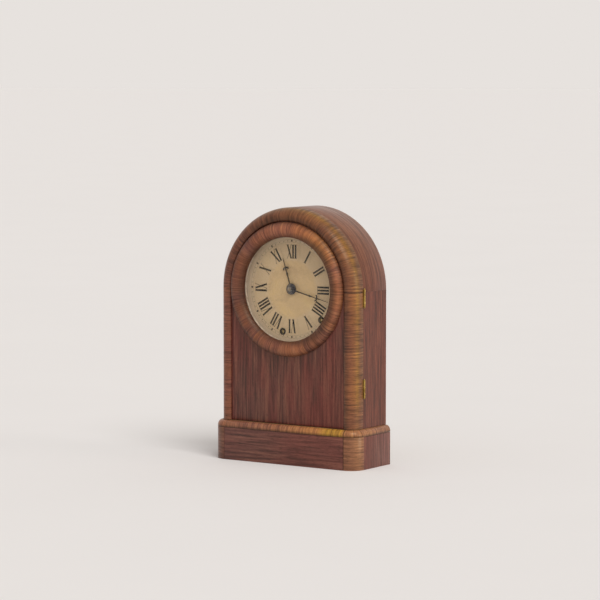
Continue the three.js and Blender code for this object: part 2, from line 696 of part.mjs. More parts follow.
// Studs for the minute wheel and the verge are riveted into the front plate.
function frontPlate() {
  const holes = [...trainHoles, ...windingHoles, [CENTRE, CENTRE_ARBOR_RADIUS + RUN_GAP]];
  for (const p of DIAL_FEET) holes.push([p, 1.3]);
  for (const p of PILLARS) holes.push([p, 1.8]);
  const studs = [
    rod(0.9, frontPlateFront - 9.6, frontPlateBack, MINUTE_WHEEL, 10),
    rod(0.8, vergeY - 2.6, frontPlateBack, VERGE, 10),
  ];
  return made([slab(plateOutline(holes), frontPlateFront, frontPlateBack), ...studs]);
}

function backPlate() {
  const holes = [...trainHoles, ...windingHoles, [CENTRE, CENTRE_ARBOR_RADIUS + RUN_GAP]];
  const pillarEnd = frontPlateFront - 1;
  const shoulder = frontPlateBack + SEAT_GAP;
  const profile = [
    [0, pillarEnd], [1.5, pillarEnd], [1.5, shoulder],
    [PILLAR_RADIUS, shoulder], [PILLAR_RADIUS, backPlateBack], [0, backPlateBack],
  ];
  const pillars = PILLARS.map((p) => turned(profile, p, 10));
  return made([slab(plateOutline(holes), backPlateFront, backPlateBack), ...pillars]);
}

add("front_plate", frontPlate(), BRASS);
add("back_plate", backPlate(), BRASS);
const cleatSpan = [ARCH_CENTRE_HEIGHT + PLATE_BOTTOM + 2, ARCH_CENTRE_HEIGHT + 50];
for (const [side, from] of [["left", PLATE_LEFT + 1], ["right", PLATE_RIGHT - 12]]) {
  const cleat = box(from, from + 11, backPlateBack + SEAT_GAP, backBoardFront - SEAT_GAP, ...cleatSpan);
  add(`movement_cleat_${side}`, cleat, PINE);
}

// Wheels: each tooth is cut to clear the round pins of the lantern pinion that it drives

const PIN_CIRCLE_MARGIN = 1.2; // the pinion's end discs stand past its pins' centres by this
const DISC = 0.7;
const DISC_GAP = 0.4; // between an end disc and the wheel that runs between the discs

// The half angle that a pin of the pinion sweeps clear in the wheel, at a stated radius of the wheel.
function sweptHalfAngle(mesh, radius) {
  const { teeth, pins, apart, wheelRadius, pinRadius } = mesh;
  const pinCircle = apart - wheelRadius;
  const clear = pinRadius + TOOTH_GAP;
  let widest = 0;
  for (let turn = 0; turn < Math.PI / 2; turn += 0.01) {
    const wheelTurn = (turn * pins) / teeth;
    const x = apart * Math.cos(wheelTurn) - pinCircle * Math.cos(turn + wheelTurn);
    const y = apart * Math.sin(wheelTurn) - pinCircle * Math.sin(turn + wheelTurn);
    const from = Math.hypot(x, y);
    const cosine = (radius ** 2 + from ** 2 - clear ** 2) / (2 * radius * from);
    if (cosine < 1) widest = Math.max(widest, Math.abs(Math.atan2(y, x)) + Math.acos(cosine));
  }
  return widest;
}

function meshOf(wheelPlace, pinionPlace, teeth, pins, pinRadius) {
  const apart = distance(wheelPlace, pinionPlace);
  const wheelRadius = (apart * teeth) / (teeth + pins);
  const pinCircle = apart - wheelRadius;
  return { teeth, pins, apart, wheelRadius, pinRadius, pinCircle, from: wheelPlace, to: pinionPlace };
}

// A wheel on its mesh's grid, with a space between two teeth turned to the pinion.
// It has windows between its arms.
function wheelPlate(mesh, y0, arms) {
  const { teeth, wheelRadius, pinRadius, from, to } = mesh;
  const step = (2 * Math.PI) / teeth;
  const root = wheelRadius - pinRadius - 0.35;
  const swept = [wheelRadius - 0.3, wheelRadius].map((radius) => sweptHalfAngle(mesh, radius));
  const rootHalf = step / 2 - Math.max(...swept);
  let tip = wheelRadius + pinRadius * 2;
  while (sweptHalfAngle(mesh, tip) > step / 2) tip -= 0.03;
  const facing = direction(from, to);
  const points = [];
  for (let i = 0; i < teeth; i++) {
    const middle = facing + (i + 0.5) * step;
    for (const [radius, off] of [[root, -rootHalf], [tip, 0], [root, rootHalf]])
      points.push([radius * Math.cos(middle + off), radius * Math.sin(middle + off)]);
  }
  return pierced(points, root - 2.2, arms, from, y0, facing);
}

function pierced(points, rim, arms, [right, up], y0, facing) {
  const outline = new THREE.Shape(points.map(([x, z]) => new THREE.Vector2(x, z)));
  const hub = rim * 0.32;
  const gap = (radius) => (1.1 / radius) * (180 / Math.PI);
  for (let i = 0; i < arms; i++) {
    const start = (facing * 180) / Math.PI + (i * 360) / arms;
    const end = start + 360 / arms;
    const window = [
      ...arc(0, 0, rim, rim, start + gap(rim), end - gap(rim), 2),
      ...arc(0, 0, hub, hub, end - gap(hub), start + gap(hub), 1),
    ];
    outline.holes.push(new THREE.Path(window.map(([x, z]) => new THREE.Vector2(x, z))));
  }
  return slab(outline, y0, y0 + WHEEL_THICKNESS).translate(right, 0, ARCH_CENTRE_HEIGHT + up);
}

// The lantern pinion of a mesh, its pins between two discs that straddle the wheel at y0.
function lantern(mesh, y0) {
  const { pins, pinCircle, pinRadius, from, to } = mesh;
  const near = y0 - DISC_GAP;
  const far = y0 + WHEEL_THICKNESS + DISC_GAP;
  const facing = direction(to, from);
  const bars = Array.from({ length: pins }, (_, i) => {
    const angle = facing + (i * 2 * Math.PI) / pins;
    const place = [to[0] + pinCircle * Math.cos(angle), to[1] + pinCircle * Math.sin(angle)];
    return rod(pinRadius, near - 0.2, far + 0.2, place, 4);
  });
  const discs = [near - DISC, far].map((y) => rod(pinCircle + PIN_CIRCLE_MARGIN, y, y + DISC, to, 8));
  return [...bars, ...discs];
}

const LEVEL_A = 15; // main wheels
const LEVEL_B = 20;
const LEVEL_C = 9;
const LEVEL_D = 4;
const mainMesh = meshOf(TIME_MAIN, TIME_SECOND, 36, 6, 0.8);
const secondMesh = meshOf(TIME_SECOND, CENTRE, 28, 7, 0.8);
const centreMesh = meshOf(CENTRE, FOURTH, 60, 6, 0.5);
const fourthMesh = meshOf(FOURTH, ESCAPE, 60, 6, 0.5);
const minuteMesh = meshOf(MINUTE_WHEEL, CENTRE, 30, 10, 0.45);
const hourMesh = meshOf(CENTRE, MINUTE_WHEEL, 32, 8, 0.45);
const strikeMainMesh = meshOf(STRIKE_MAIN, STRIKE_SECOND, 36, 6, 0.8);
const strikeSecondMesh = meshOf(STRIKE_SECOND, STRIKE_THIRD, 36, 6, 0.7);
const strikeThirdMesh = meshOf(STRIKE_THIRD, FLY, 36, 6, 0.6);

function arbor(place, radius = ARBOR_RADIUS) {
  return rod(radius, frontPlateFront, backPlateBack, place, 8);
}

// A main wheel turns with its arbor, whose squared end takes the key.
function mainWheel(mesh) {
  const { from } = mesh;
  const end = dialFront + 0.6;
  const side = WINDING_SQUARE / 2;
  const square = box(-side, side, end, frontPlateFront - 2, -side, side)
    .translate(from[0], 0, ARCH_CENTRE_HEIGHT + from[1]);
  const shaft = rod(WINDING_ARBOR_RADIUS, frontPlateFront - 3, backPlateBack, from, 12);
  return made([wheelPlate(mesh, LEVEL_A, 5), shaft, square]);
}

function mainspring([right, up]) {
  const turns = 4.5;
  const steps = 45;
  const thickness = 0.7;
  const inner = WINDING_ARBOR_RADIUS + SEAT_GAP;
  const spiral = (extra) => Array.from({ length: steps + 1 }, (_, i) => {
    const radius = inner + extra + (20.5 - inner) * (i / steps) ** 0.9;
    const angle = (2 * Math.PI * turns * i) / steps;
    return [radius * Math.cos(angle), radius * Math.sin(angle)];
  });
  const outline = shapeOf([...spiral(thickness), ...spiral(0).reverse()]);
  return slab(outline, 2, 13.5).translate(right, 0, ARCH_CENTRE_HEIGHT + up);
}

add("time_main_wheel", mainWheel(mainMesh), BRASS);
add("time_mainspring", mainspring(TIME_MAIN), STEEL);
const timeSecond = [arbor(TIME_SECOND), wheelPlate(secondMesh, LEVEL_B, 4), ...lantern(mainMesh, LEVEL_A)];
add("time_second_wheel", made(timeSecond), BRASS);

// The centre arbor carries the motion work's pinion in front of the plate, and the minute hand at its end.
const motionA = frontPlateFront - 2.6 - WHEEL_THICKNESS; // the minute wheel
const motionB = motionA - 3.6 - WHEEL_THICKNESS; // the hour wheel

function centreWheel() {
  const shaft = rod(CENTRE_ARBOR_RADIUS, nutBack - 1.9, backPlateBack, CENTRE, 12);
  const pinions = [...lantern(secondMesh, LEVEL_B), ...lantern(minuteMesh, motionA)];
  return made([shaft, wheelPlate(centreMesh, LEVEL_C, 4), ...pinions]);
}

add("centre_wheel", centreWheel(), BRASS);
const fourth = [arbor(FOURTH), wheelPlate(fourthMesh, LEVEL_D, 4), ...lantern(centreMesh, LEVEL_C)];
add("fourth_wheel", made(fourth), BRASS);

function minuteWheel() {
  const bore = rod(0.9 + RUN_GAP, motionB - 3, frontPlateFront - 0.2, MINUTE_WHEEL, 12);
  const hub = rod(2, motionB - 1.4, frontPlateFront - SEAT_GAP, MINUTE_WHEEL, 12);
  return made([hub, wheelPlate(minuteMesh, motionA, 3), ...lantern(hourMesh, motionB)], [bore]);
}

function hourWheel() {
  const pipe = rod(HOUR_PIPE, hourHandBack - HAND_THICKNESS - 0.1, motionB + WHEEL_THICKNESS, CENTRE, 14);
  const bore = rod(CENTRE_ARBOR_RADIUS + 0.5, hourHandBack - 3, motionB + 3, CENTRE, 14);
  return made([pipe, wheelPlate(hourMesh, motionB, 4)], [bore]);
}

add("minute_wheel", minuteWheel(), BRASS);
add("hour_wheel", hourWheel(), BRASS);

// Strike train, its fly and its hammer

add("strike_main_wheel", mainWheel(strikeMainMesh), BRASS);
add("strike_mainspring", mainspring(STRIKE_MAIN), STEEL);
const strikeSecond = [wheelPlate(strikeSecondMesh, LEVEL_B, 4), ...lantern(strikeMainMesh, LEVEL_A)];
const strikeThird = [wheelPlate(strikeThirdMesh, LEVEL_C, 4), ...lantern(strikeSecondMesh, LEVEL_B)];
add("strike_second_wheel", made([arbor(STRIKE_SECOND), ...strikeSecond]), BRASS);
add("strike_third_wheel", made([arbor(STRIKE_THIRD), ...strikeThird]), BRASS);

function fly() {
  const vane = box(-9.5, 9.5, 13, 22.5, -0.3, 0.3).rotateY(radians(35));
  vane.translate(FLY[0], 0, ARCH_CENTRE_HEIGHT + FLY[1]);
  const collar = rod(1.8, 14, 21, FLY, 10);
  return made([arbor(FLY), vane, collar, ...lantern(strikeThirdMesh, LEVEL_C)]);
}

add("fly", fly(), BRASS);

// Escapement: a forty-tooth wheel in front of the plate, with a strip verge over it

function escapeWheel() {
  const step = (2 * Math.PI) / ESCAPE_TEETH;
  const points = Array.from({ length: ESCAPE_TEETH }, (_, i) => [
    [ESCAPE_RADIUS - 2.2, (i - 0.25) * step],
    [ESCAPE_RADIUS, (i - 0.02) * step],
    [ESCAPE_RADIUS, (i + 0.08) * step],
  ]).flat().map(([r, a]) => [r * Math.cos(a), r * Math.sin(a)]);
  const plate = pierced(points, ESCAPE_RADIUS - 4, 4, ESCAPE, vergeY - WHEEL_THICKNESS / 2, 0);
  const shaft = rod(ARBOR_RADIUS, vergeY - 0.9, backPlateBack, ESCAPE, 8);
  return made([plate, shaft, ...lantern(fourthMesh, LEVEL_D)]);
}

function verge() {
  const nose = ESCAPE_RADIUS + 0.9;
  const noseX = nose * Math.sin(radians(PALLET_HALF_ANGLE));
  const noseZ = nose * Math.cos(radians(PALLET_HALF_ANGLE)) - VERGE_RISE;
  const right = [
    [0, -0.9], [4.4, -0.9], [noseX - 1.3, noseZ + 3.4], [noseX, noseZ],
    [noseX + 1.5, noseZ + 0.4], [noseX + 0.5, noseZ + 5.2], [5.2, 1.8], [0, 2.6],
  ];
  const left = right.slice(1, -1).reverse().map(([x, z]) => [-x, z]);
  const outline = new THREE.Shape([...right, ...left].map((p) => new THREE.Vector2(...p)));
  const [x, z] = [VERGE[0], ARCH_CENTRE_HEIGHT + VERGE[1]];
  const strip = slab(outline, vergeY - 1.1, vergeY + 1.1).translate(x, 0, z);
  const armFront = vergeY - 2.3;
  const arm = box(x - 0.8, x + 0.8, armFront, armFront + 1, z - CRUTCH_LENGTH, z);
  const prong = ROD_RADIUS + RUN_GAP;
  const footZ = z - CRUTCH_LENGTH;
  const prongs = [-1, 1].map((side) =>
    box(-0.45, 0.45, rodY - 1.6, armFront + 1, footZ, footZ + 1.4).translate(x + side * (prong + 0.45), 0, 0));
  const foot = box(x - prong - 0.9, x + prong + 0.9, armFront, armFront + 1, footZ, footZ + 1.4);
  const hub = rod(2.6, armFront, frontPlateFront - SEAT_GAP, VERGE, 12);
  const bore = rod(0.8 + RUN_GAP, vergeY - 4, frontPlateFront + 1, VERGE, 12);
  return made([strip, hub, arm, foot, ...prongs], [bore]);
}

add("escape_wheel", escapeWheel(), BRASS);
add("verge", verge(), STEEL);

// Pendulum: it hangs from a post above the verge, in line with the verge's stud

function suspensionPost() {
  const [x, z] = [VERGE[0], ARCH_CENTRE_HEIGHT + VERGE[1]];
  const above = [VERGE[0], VERGE[1] + 6.5];
  const front = rodY - 1.6;
  const post = rod(2, front - 1, frontPlateFront - SEAT_GAP, above, 12);
  const cheek = box(x - 1.8, x + 1.8, front - 1, front, z - 1.8, z + 6.5);
  const stud = rod(0.8, front - 0.5, rodY + 1, VERGE, 10);
  return made([post, cheek, stud]);
}

const bobHeight = floorTop + BOB_FLOOR_ROOM + BOB_RADIUS;
const nutTop = bobHeight - BOB_RADIUS - SEAT_GAP;

function pendulumRod() {
  const eye = ring(0.8 + RUN_GAP, 2.4, rodY - 0.9, rodY + 0.9, VERGE, 12);
  const top = ARCH_CENTRE_HEIGHT + VERGE[1] - 1.8;
  return made([eye, upright(ROD_RADIUS, VERGE[0], rodY, nutTop - 6, top, 8)]);
}

function pendulumBob() {
  const [wide, thick] = [BOB_RADIUS, BOB_THICKNESS / 2];
  const front = arc(0, 0, wide, thick - 0.6, -90, 0, 4).map(([r, y]) => [r, rodY - 0.6 + y]);
  const back = arc(0, 0, wide, thick - 0.6, 0, 90, 4).map(([r, y]) => [r, rodY + 0.6 + y]);
  front[0][0] = 0;
  back[back.length - 1][0] = 0;
  const place = [VERGE[0], bobHeight - ARCH_CENTRE_HEIGHT];
  const bore = upright(ROD_RADIUS + 0.3, VERGE[0], rodY, bobHeight - 30, bobHeight + 30, 8);
  return made([turned([...front, ...back], place, 24)], [bore]);
}

add("suspension_post", suspensionPost(), BRASS);
add("pendulum_rod", pendulumRod(), STEEL);
add("pendulum_bob", pendulumBob(), BRASS);
const nutBore = upright(ROD_RADIUS + 0.3, VERGE[0], rodY, nutTop - 4, nutTop + 1, 8);
const ratingNut = made([upright(3.2, VERGE[0], rodY, nutTop - 3, nutTop, 14)], [nutBore]);
add("rating_nut", ratingNut, BRASS);

// Gong: a coiled wire held by its inner end in an iron block on the back board, and its hammer

const gongY = backBoardFront - GONG_FORWARD;
const gongInner = GONG_RADIUS - GONG_TURNS * GONG_PITCH;

function gongWire(radius) {
  const turnSteps = 14;
  const steps = GONG_TURNS * turnSteps;
  const start = 205; // degrees, the free end, beside the hammer
  const centreZ = ARCH_CENTRE_HEIGHT + GONG_CENTRE[1];
  const at = (angle, r) => [GONG_CENTRE[0] + r * Math.cos(angle), gongY, centreZ + r * Math.sin(angle)];
  const points = Array.from({ length: steps + 1 }, (_, i) => {
    const angle = radians(start + (i * 360) / turnSteps);
    return at(angle, GONG_RADIUS - (GONG_PITCH * i) / turnSteps);
  });
  const last = radians(start + (steps * 360) / turnSteps + 50);
  for (const r of [gongInner - 4, 3]) points.push(at(last, r));
  return wire(points, radius, 5, steps + 4);
}

function gongBlock() {
  const back = backBoardFront - SEAT_GAP;
  const profile = [
    [0, gongY - 3], [4.6, gongY - 3], [5.2, gongY - 2.4], [5.2, back - 4], [9, back - 3], [9, back], [0, back],
  ];
  return made([turned(profile, GONG_CENTRE, 20)], [gongWire(GONG_WIRE + SEAT_GAP)]);
}

add("gong", gongWire(GONG_WIRE), BLUED_STEEL);
add("gong_block", gongBlock(), IRON);

// The hammer's arm hangs behind the back plate, square to the line from its head to the middle of the gong.
function hammer() {
  const toGong = distance(HAMMER, GONG_CENTRE);
  const reach = GONG_RADIUS + GONG_WIRE + 1.5 + 5;
  const armLength = Math.sqrt(toGong ** 2 - reach ** 2);
  const down = direction(HAMMER, GONG_CENTRE) - Math.asin(reach / toGong);
  const [x, z] = [HAMMER[0], ARCH_CENTRE_HEIGHT + HAMMER[1]];
  const turn = -down;
  const armPiece = box(1, armLength + 1, gongY - 0.9, gongY + 0.9, -0.9, 0.9);
  const head = new THREE.CylinderGeometry(3.4, 3.4, 10, 12).rotateX(Math.PI / 2).translate(armLength, gongY, 0);
  const placed = [armPiece, head].map((g) => g.rotateY(turn).translate(x, 0, z));
  const boss = rod(3, gongY - 1.6, gongY + 1.6, HAMMER, 12);
  const tail = box(0.5, 13, 18.6, 19.8, -0.8, 0.8).rotateY(-direction(HAMMER, STRIKE_SECOND)).translate(x, 0, z);
  return made([rod(ARBOR_RADIUS, frontPlateFront, gongY + 1.6, HAMMER, 8), boss, tail, ...placed]);
}

add("hammer", hammer(), STEEL);

export default clock;
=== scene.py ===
import math

import bpy
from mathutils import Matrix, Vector


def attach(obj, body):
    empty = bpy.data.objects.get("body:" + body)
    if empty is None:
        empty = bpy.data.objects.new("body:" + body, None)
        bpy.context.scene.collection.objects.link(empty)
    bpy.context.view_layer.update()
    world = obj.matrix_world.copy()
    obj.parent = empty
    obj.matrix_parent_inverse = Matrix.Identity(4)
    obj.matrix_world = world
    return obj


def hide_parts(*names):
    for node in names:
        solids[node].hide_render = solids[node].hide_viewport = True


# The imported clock. It rests on its plinth at z = 0, its front towards -Y, and its box is kept
# as it is before anything is dressed.
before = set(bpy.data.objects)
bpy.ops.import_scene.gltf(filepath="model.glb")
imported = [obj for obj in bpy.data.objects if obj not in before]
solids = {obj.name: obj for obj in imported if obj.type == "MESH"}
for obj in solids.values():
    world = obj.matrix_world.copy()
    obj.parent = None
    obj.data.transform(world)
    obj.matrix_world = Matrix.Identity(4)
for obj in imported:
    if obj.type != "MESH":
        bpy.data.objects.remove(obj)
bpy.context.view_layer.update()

# The camera stands well round to the clock's right and a little above it, far enough away that
# its upright lines stay nearly upright.
MM = 0.001
CAMERA_SIDE = math.radians(34)
CAMERA_RISE = math.radians(4.8)
CAMERA_DISTANCE = 3.5
CAMERA_LENS = 157.9
FILM_WIDTH = 36
SIGHT_END = 1000
FRONT_CENTRE = Vector((0, -35.5, 170)) * MM
AIM_RIGHT = 19.2 * MM
AIM_UP = 50.3 * MM

sight = Vector((
    math.sin(CAMERA_SIDE) * math.cos(CAMERA_RISE),
    -math.cos(CAMERA_SIDE) * math.cos(CAMERA_RISE),
    math.sin(CAMERA_RISE),
))
screen_right = Vector((math.cos(CAMERA_SIDE), math.sin(CAMERA_SIDE), 0))
aim = FRONT_CENTRE + screen_right * AIM_RIGHT + Vector((0, 0, AIM_UP))
bpy.ops.object.select_all(action="DESELECT")
bpy.ops.object.camera_add(location=aim + sight * CAMERA_DISTANCE)
camera = bpy.context.active_object
camera.rotation_euler = sight.to_track_quat("Z", "Y").to_euler()
camera.data.lens = CAMERA_LENS
camera.data.sensor_width = FILM_WIDTH
camera.data.clip_end = SIGHT_END
bpy.context.scene.camera = camera

# Plinth: three rosewood-veneered boards round a softwood rail. The long face has its grain lying
# level, and each front corner is bent round and veneered across, so its grain lies level too.
BASE_HALF = 116
BASE_FRONT = -42.5
BASE_BACK = 42.5
BASE_HEIGHT = 43.7
BASE_BOARD = 10
CORNER_X = 96
CORNER_Y = -22.5
CORNER_RADIUS = 20
JOINT = 0.3


def screen_colour(red, green, blue):
    """A colour named as a screen shows it, 0 to 255, in the numbers that a shader takes."""
    parts = [part / 255 for part in (red, green, blue)]
    return (*[p / 12.92 if p <= 0.04045 else ((p + 0.055) / 1.055) ** 2.4 for p in parts], 1)


def plug(finish, target, sockets):
    """Gives each socket of a node a number, a colour, or another node's output."""
    for socket, value in sockets.items():
        if isinstance(value, bpy.types.NodeSocket):
            finish.node_tree.links.new(value, target.inputs[socket])
        else:
            target.inputs[socket].default_value = value


def node(finish, kind, sockets, **settings):
    new = finish.node_tree.nodes.new(kind)
    for setting, value in settings.items():
        setattr(new, setting, value)
    plug(finish, new, sockets)
    return new


def sums(finish, operation, first, second):
    return node(finish, "ShaderNodeMath", {0: first, 1: second}, operation=operation).outputs[0]


def times(finish, first, second):
    return sums(finish, "MULTIPLY", first, second)


def split(finish, way):
    """The three numbers of a place."""
    return node(finish, "ShaderNodeSeparateXYZ", {0: way}).outputs


def give(finish, **sockets):
    """Fills sockets of the finish's own shader."""
    shader = finish.node_tree.nodes["Principled BSDF"]
    plug(finish, shader, {name.replace("_", " "): value for name, value in sockets.items()})


def new_finish(name, **sockets):
    finish = bpy.data.materials.new(name)
    finish.use_nodes = True
    give(finish, **sockets)
    return finish


def place_on(finish):
    """Where a point is on the clock, in metres."""
    return node(finish, "ShaderNodeTexCoord", {}).outputs["Object"]


def stretched_noise(finish, way, pace, often, detail, wander):
    """Noise drawn out along the grain: often is its repeats in a metre, pace its share on each axis."""
    scale = [often * share for share in pace]
    spread = node(finish, "ShaderNodeMapping", {0: way, "Scale": scale}).outputs[0]
    sockets = {"Vector": spread, "Scale": 1, "Detail": detail, "Roughness": 0.6, "Distortion": wander}
    return node(finish, "ShaderNodeTexNoise", sockets).outputs[0]


def even_noise(finish, often, detail, wander):
    return stretched_noise(finish, place_on(finish), (1, 1, 1), often, detail, wander)


def tones(finish, amount, stops):
    """Colours laid out along an amount, each stop a place and a colour. A colour of three numbers is
    named as a screen shows it."""
    ramp = node(finish, "ShaderNodeValToRGB", {0: amount})
    elements = ramp.color_ramp.elements
    while len(elements) < len(stops):
        elements.new(0.5)
    for element, (place, colour) in zip(elements, stops):
        element.position = place
        element.color = colour if len(colour) == 4 else screen_colour(*colour)
    return ramp.outputs[0]


def blend_colours(finish, how, share, first, second):
    mix = node(finish, "ShaderNodeMix", {0: share, 6: first, 7: second}, data_type="RGBA", blend_type=how)
    return mix.outputs[2]


def shaded(finish, first, second, share=1):
    """Two colours multiplied: stains and dark joints, and also painted shade and painted highlights."""
    return blend_colours(finish, "MULTIPLY", share, first, second)


def eased(finish, amount, start, end, low, high):
    """An amount brought from one range of values to another."""
    return node(finish, "ShaderNodeMapRange", {0: amount, 1: start, 2: end, 3: low, 4: high}).outputs[0]


def dark_line(finish, amount, place, half_width, depth=0.4):
    """A share that falls to depth where an amount passes a place: a glued joint filled with old polish."""
    apart = sums(finish, "ABSOLUTE", sums(finish, "SUBTRACT", amount, place), 0)
    return eased(finish, apart, half_width * 0.4, half_width, depth, 1)


def relief(finish, height, strength, depth):
    """Small dents and lines; depth is in metres."""
    sockets = {"Strength": strength, "Distance": depth, "Height": height}
    return node(finish, "ShaderNodeBump", sockets).outputs[0]


def grey(level):
    return (level, level, level, 1)


def rosewood(name, pace, shades, laid=place_on, marks_and_light=None, lines=470, polish=0.36, coat=0.12):
    """Polished rosewood. pace is slow along the grain, and shades holds its dark, middle, light and warm
    colours. laid gives the coordinates it follows, and the argument after it a colour that multiplies
    it, for dark joints and also for painted shade and painted highlights. lines is how many of its
    fine dark lines there are in a metre."""
    dark, middle, light, warm = [screen_colour(*shade) for shade in shades]
    finish = new_finish(
        name, Specular_IOR_Level=0.42, Specular_Tint=(1, 0.84, 0.6, 1), Coat_Weight=coat, Coat_Roughness=0.16,
    )
    way = laid(finish)
    figure = stretched_noise(finish, way, pace, 80, 5, 0.7)
    streak = stretched_noise(finish, way, pace, lines, 4, 0.3)
    pores = stretched_noise(finish, way, [max(share, 0.12) for share in pace], 1250, 2, 0)
    cloud = stretched_noise(finish, way, [max(share, 0.3) for share in pace], 26, 2, 0.2)
    both = sums(finish, "ADD", times(finish, figure, 0.4), times(finish, streak, 0.6))
    wood = tones(finish, both, [(0.33, dark), (0.49, middle), (0.66, light)])
    warmth = tones(finish, cloud, [(0.42, grey(0)), (0.62, grey(0.6))])
    wood = blend_colours(finish, "MIX", warmth, wood, warm)
    drawn = tones(finish, streak, [(0.36, grey(0.6)), (0.5, grey(1)), (0.66, grey(1.18))])
    wood = shaded(finish, wood, drawn, 0.85)
    open_pores = tones(finish, pores, [(0.36, grey(0.45)), (0.46, grey(1))])
    wood = shaded(finish, wood, open_pores, 0.7)
    if marks_and_light:
        wood = shaded(finish, wood, marks_and_light(finish))
    height = sums(finish, "ADD", times(finish, streak, 0.6), times(finish, pores, 0.4))
    give(
        finish, Base_Color=wood, Roughness=eased(finish, streak, 0.35, 0.65, polish + 0.08, polish - 0.06),
        Normal=relief(finish, height, 0.3, 0.0004),
    )
    return finish


def put_down():
    """Object mode, with nothing held."""
    if bpy.context.mode != "OBJECT":
        bpy.ops.object.mode_set(mode="OBJECT")
    bpy.ops.object.select_all(action="DESELECT")


def take_up(piece):
    """Object mode, with one piece held."""
    put_down()
    piece.select_set(True)
    bpy.context.view_layer.objects.active = piece


def named(name):
    piece = bpy.context.active_object
    piece.name = piece.data.name = name
    return piece


def open_up():
    """Edit mode, with the whole piece picked."""
    if bpy.context.mode != "EDIT_MESH":
        bpy.ops.object.mode_set(mode="EDIT")
    bpy.ops.mesh.select_all(action="SELECT")


def outline(name, places):
    """A loop of edges through places in millimetres, left open for work."""
    put_down()
    bpy.ops.mesh.primitive_circle_add(vertices=len(places))
    piece = named(name)
    for vertex, place in zip(piece.data.vertices, places):
        vertex.co = Vector(place) * MM
    open_up()
    return piece


def clean_up(piece, ease=0, smooth=32):
    """Merges doubles, faces everything outwards, eases the sharp edges and smooths the curves."""
    open_up()
    bpy.ops.mesh.remove_doubles(threshold=1e-6)
    bpy.ops.mesh.fill_holes(sides=0)
    bpy.ops.mesh.normals_make_consistent(inside=False)
    bpy.ops.object.mode_set(mode="OBJECT")
    if ease:
        edge = piece.modifiers.new("Eased edges", "BEVEL")
        edge.width = ease * MM
        edge.segments = 2
        edge.angle_limit = math.radians(smooth)
        bpy.ops.object.modifier_apply(modifier=edge.name)
    bpy.ops.object.shade_smooth_by_angle(angle=math.radians(smooth))
    return piece


def carry_along(way):
    """Extrudes what is picked, by a way in millimetres."""
    bpy.ops.mesh.extrude_region_move(TRANSFORM_OT_translate={"value": Vector(way) * MM})


def spin_round(steps, degrees, centre, axis):
    bpy.ops.mesh.spin(steps=steps, angle=math.radians(degrees), center=Vector(centre) * MM, axis=axis)


def drawn_out(name, places, way, ease=0.3, smooth=32):
    """A solid with an even section: the outline carried along a straight line."""
    piece = outline(name, places)
    bpy.ops.mesh.edge_face_add()
    carry_along(way)
    return clean_up(piece, ease, smooth)


def block(name, low, high, ease=0.4):
    """A board or plate, sawn square and with its edges eased."""
    put_down()
    low, high = Vector(low) * MM, Vector(high) * MM
    bpy.ops.mesh.primitive_cube_add(size=1, location=(low + high) / 2)
    piece = named(name)
    piece.scale = high - low
    bpy.ops.object.transform_apply()
    open_up()
    bpy.ops.mesh.bevel(offset=ease * MM, segments=2, affect="EDGES")
    return clean_up(piece)


def curve_of(centre, radii, start, end, steps):
    """Points on an ellipse's arc, from one angle in degrees to another."""
    angles = [math.radians(start + (end - start) * step / steps) for step in range(steps + 1)]
    return [(centre[0] + radii[0] * math.cos(a), centre[1] + radii[1] * math.sin(a)) for a in angles]


def mirror_copy(piece, name):
    """The same piece for the clock's other side."""
    take_up(piece)
    bpy.ops.object.duplicate()
    other = named(name)
    other.scale.x = -1
    bpy.ops.object.transform_apply()
    return clean_up(other)


def fit(piece, body, slot, finish, *stands_for):
    """Puts the finish on a piece and fixes it to its body, in place of the plain solids."""
    piece.data.materials.clear()
    piece.data.materials.append(finish)
    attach(piece, body)
    if stands_for:
        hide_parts(*stands_for)


def dress(finish, *names):
    """Puts the finish on solids that keep their own shape."""
    for name in names:
        solids[name].data.materials.clear()
        solids[name].data.materials.append(finish)


PLINTH_TONES = ((66, 38, 38), (95, 54, 51), (126, 80, 68), (104, 50, 46))
PLINTH_SIDE_TONES = ((74, 38, 33), (104, 57, 48), (132, 80, 62), (108, 51, 43))
CORNER_TONES = ((88, 54, 46), (125, 82, 65), (154, 110, 82), (141, 96, 67))
GRAIN_LEVEL = (0.05, 1, 1)
GRAIN_UPRIGHT = (1, 1, 0.045)
GRAIN_ACROSS = (0.06, 0.06, 1)


def corner_seam(finish):
    """The dark joint beside the right front corner. The left one has stayed tight."""
    parts = split(finish, place_on(finish))
    return dark_line(finish, parts[0], (CORNER_X + JOINT / 2) * MM, 0.0008)


def corner_light_and_joint(finish):
    """A painted amber highlight round the right corner, painted shade over the left corner, and the dark
    joint beside the right one.
    """
    parts = split(finish, place_on(finish))
    shade = tones(finish, eased(finish, parts[0], -0.1, 0.1, 0, 1), [
        (0.3, (0.72, 0.66, 0.78, 1)), (0.7, grey(1)),
    ])
    painted_highlight = tones(finish, eased(finish, parts[0], CORNER_X * MM, BASE_HALF * MM, 0, 1), [
        (0, (0.93, 0.85, 0.87, 1)), (0.6, (0.99, 0.96, 0.92, 1)), (0.85, (1.1, 1.12, 0.98, 1)),
        (0.94, (1.16, 1.22, 1.1, 1)), (1, (1.02, 1, 0.98, 1)),
    ])
    shade = shaded(finish, shade, painted_highlight, sums(finish, "GREATER_THAN", parts[0], 0))
    return shaded(finish, shade, corner_seam(finish))


plinth_wood = rosewood("Plinth rosewood", GRAIN_LEVEL, PLINTH_TONES, marks_and_light=corner_seam, lines=330)
plinth_side_wood = rosewood("Plinth side rosewood", GRAIN_UPRIGHT, PLINTH_SIDE_TONES, lines=360)
corner_wood = rosewood("Plinth corner banding", GRAIN_ACROSS, CORNER_TONES, marks_and_light=corner_light_and_joint, coat=0.05)

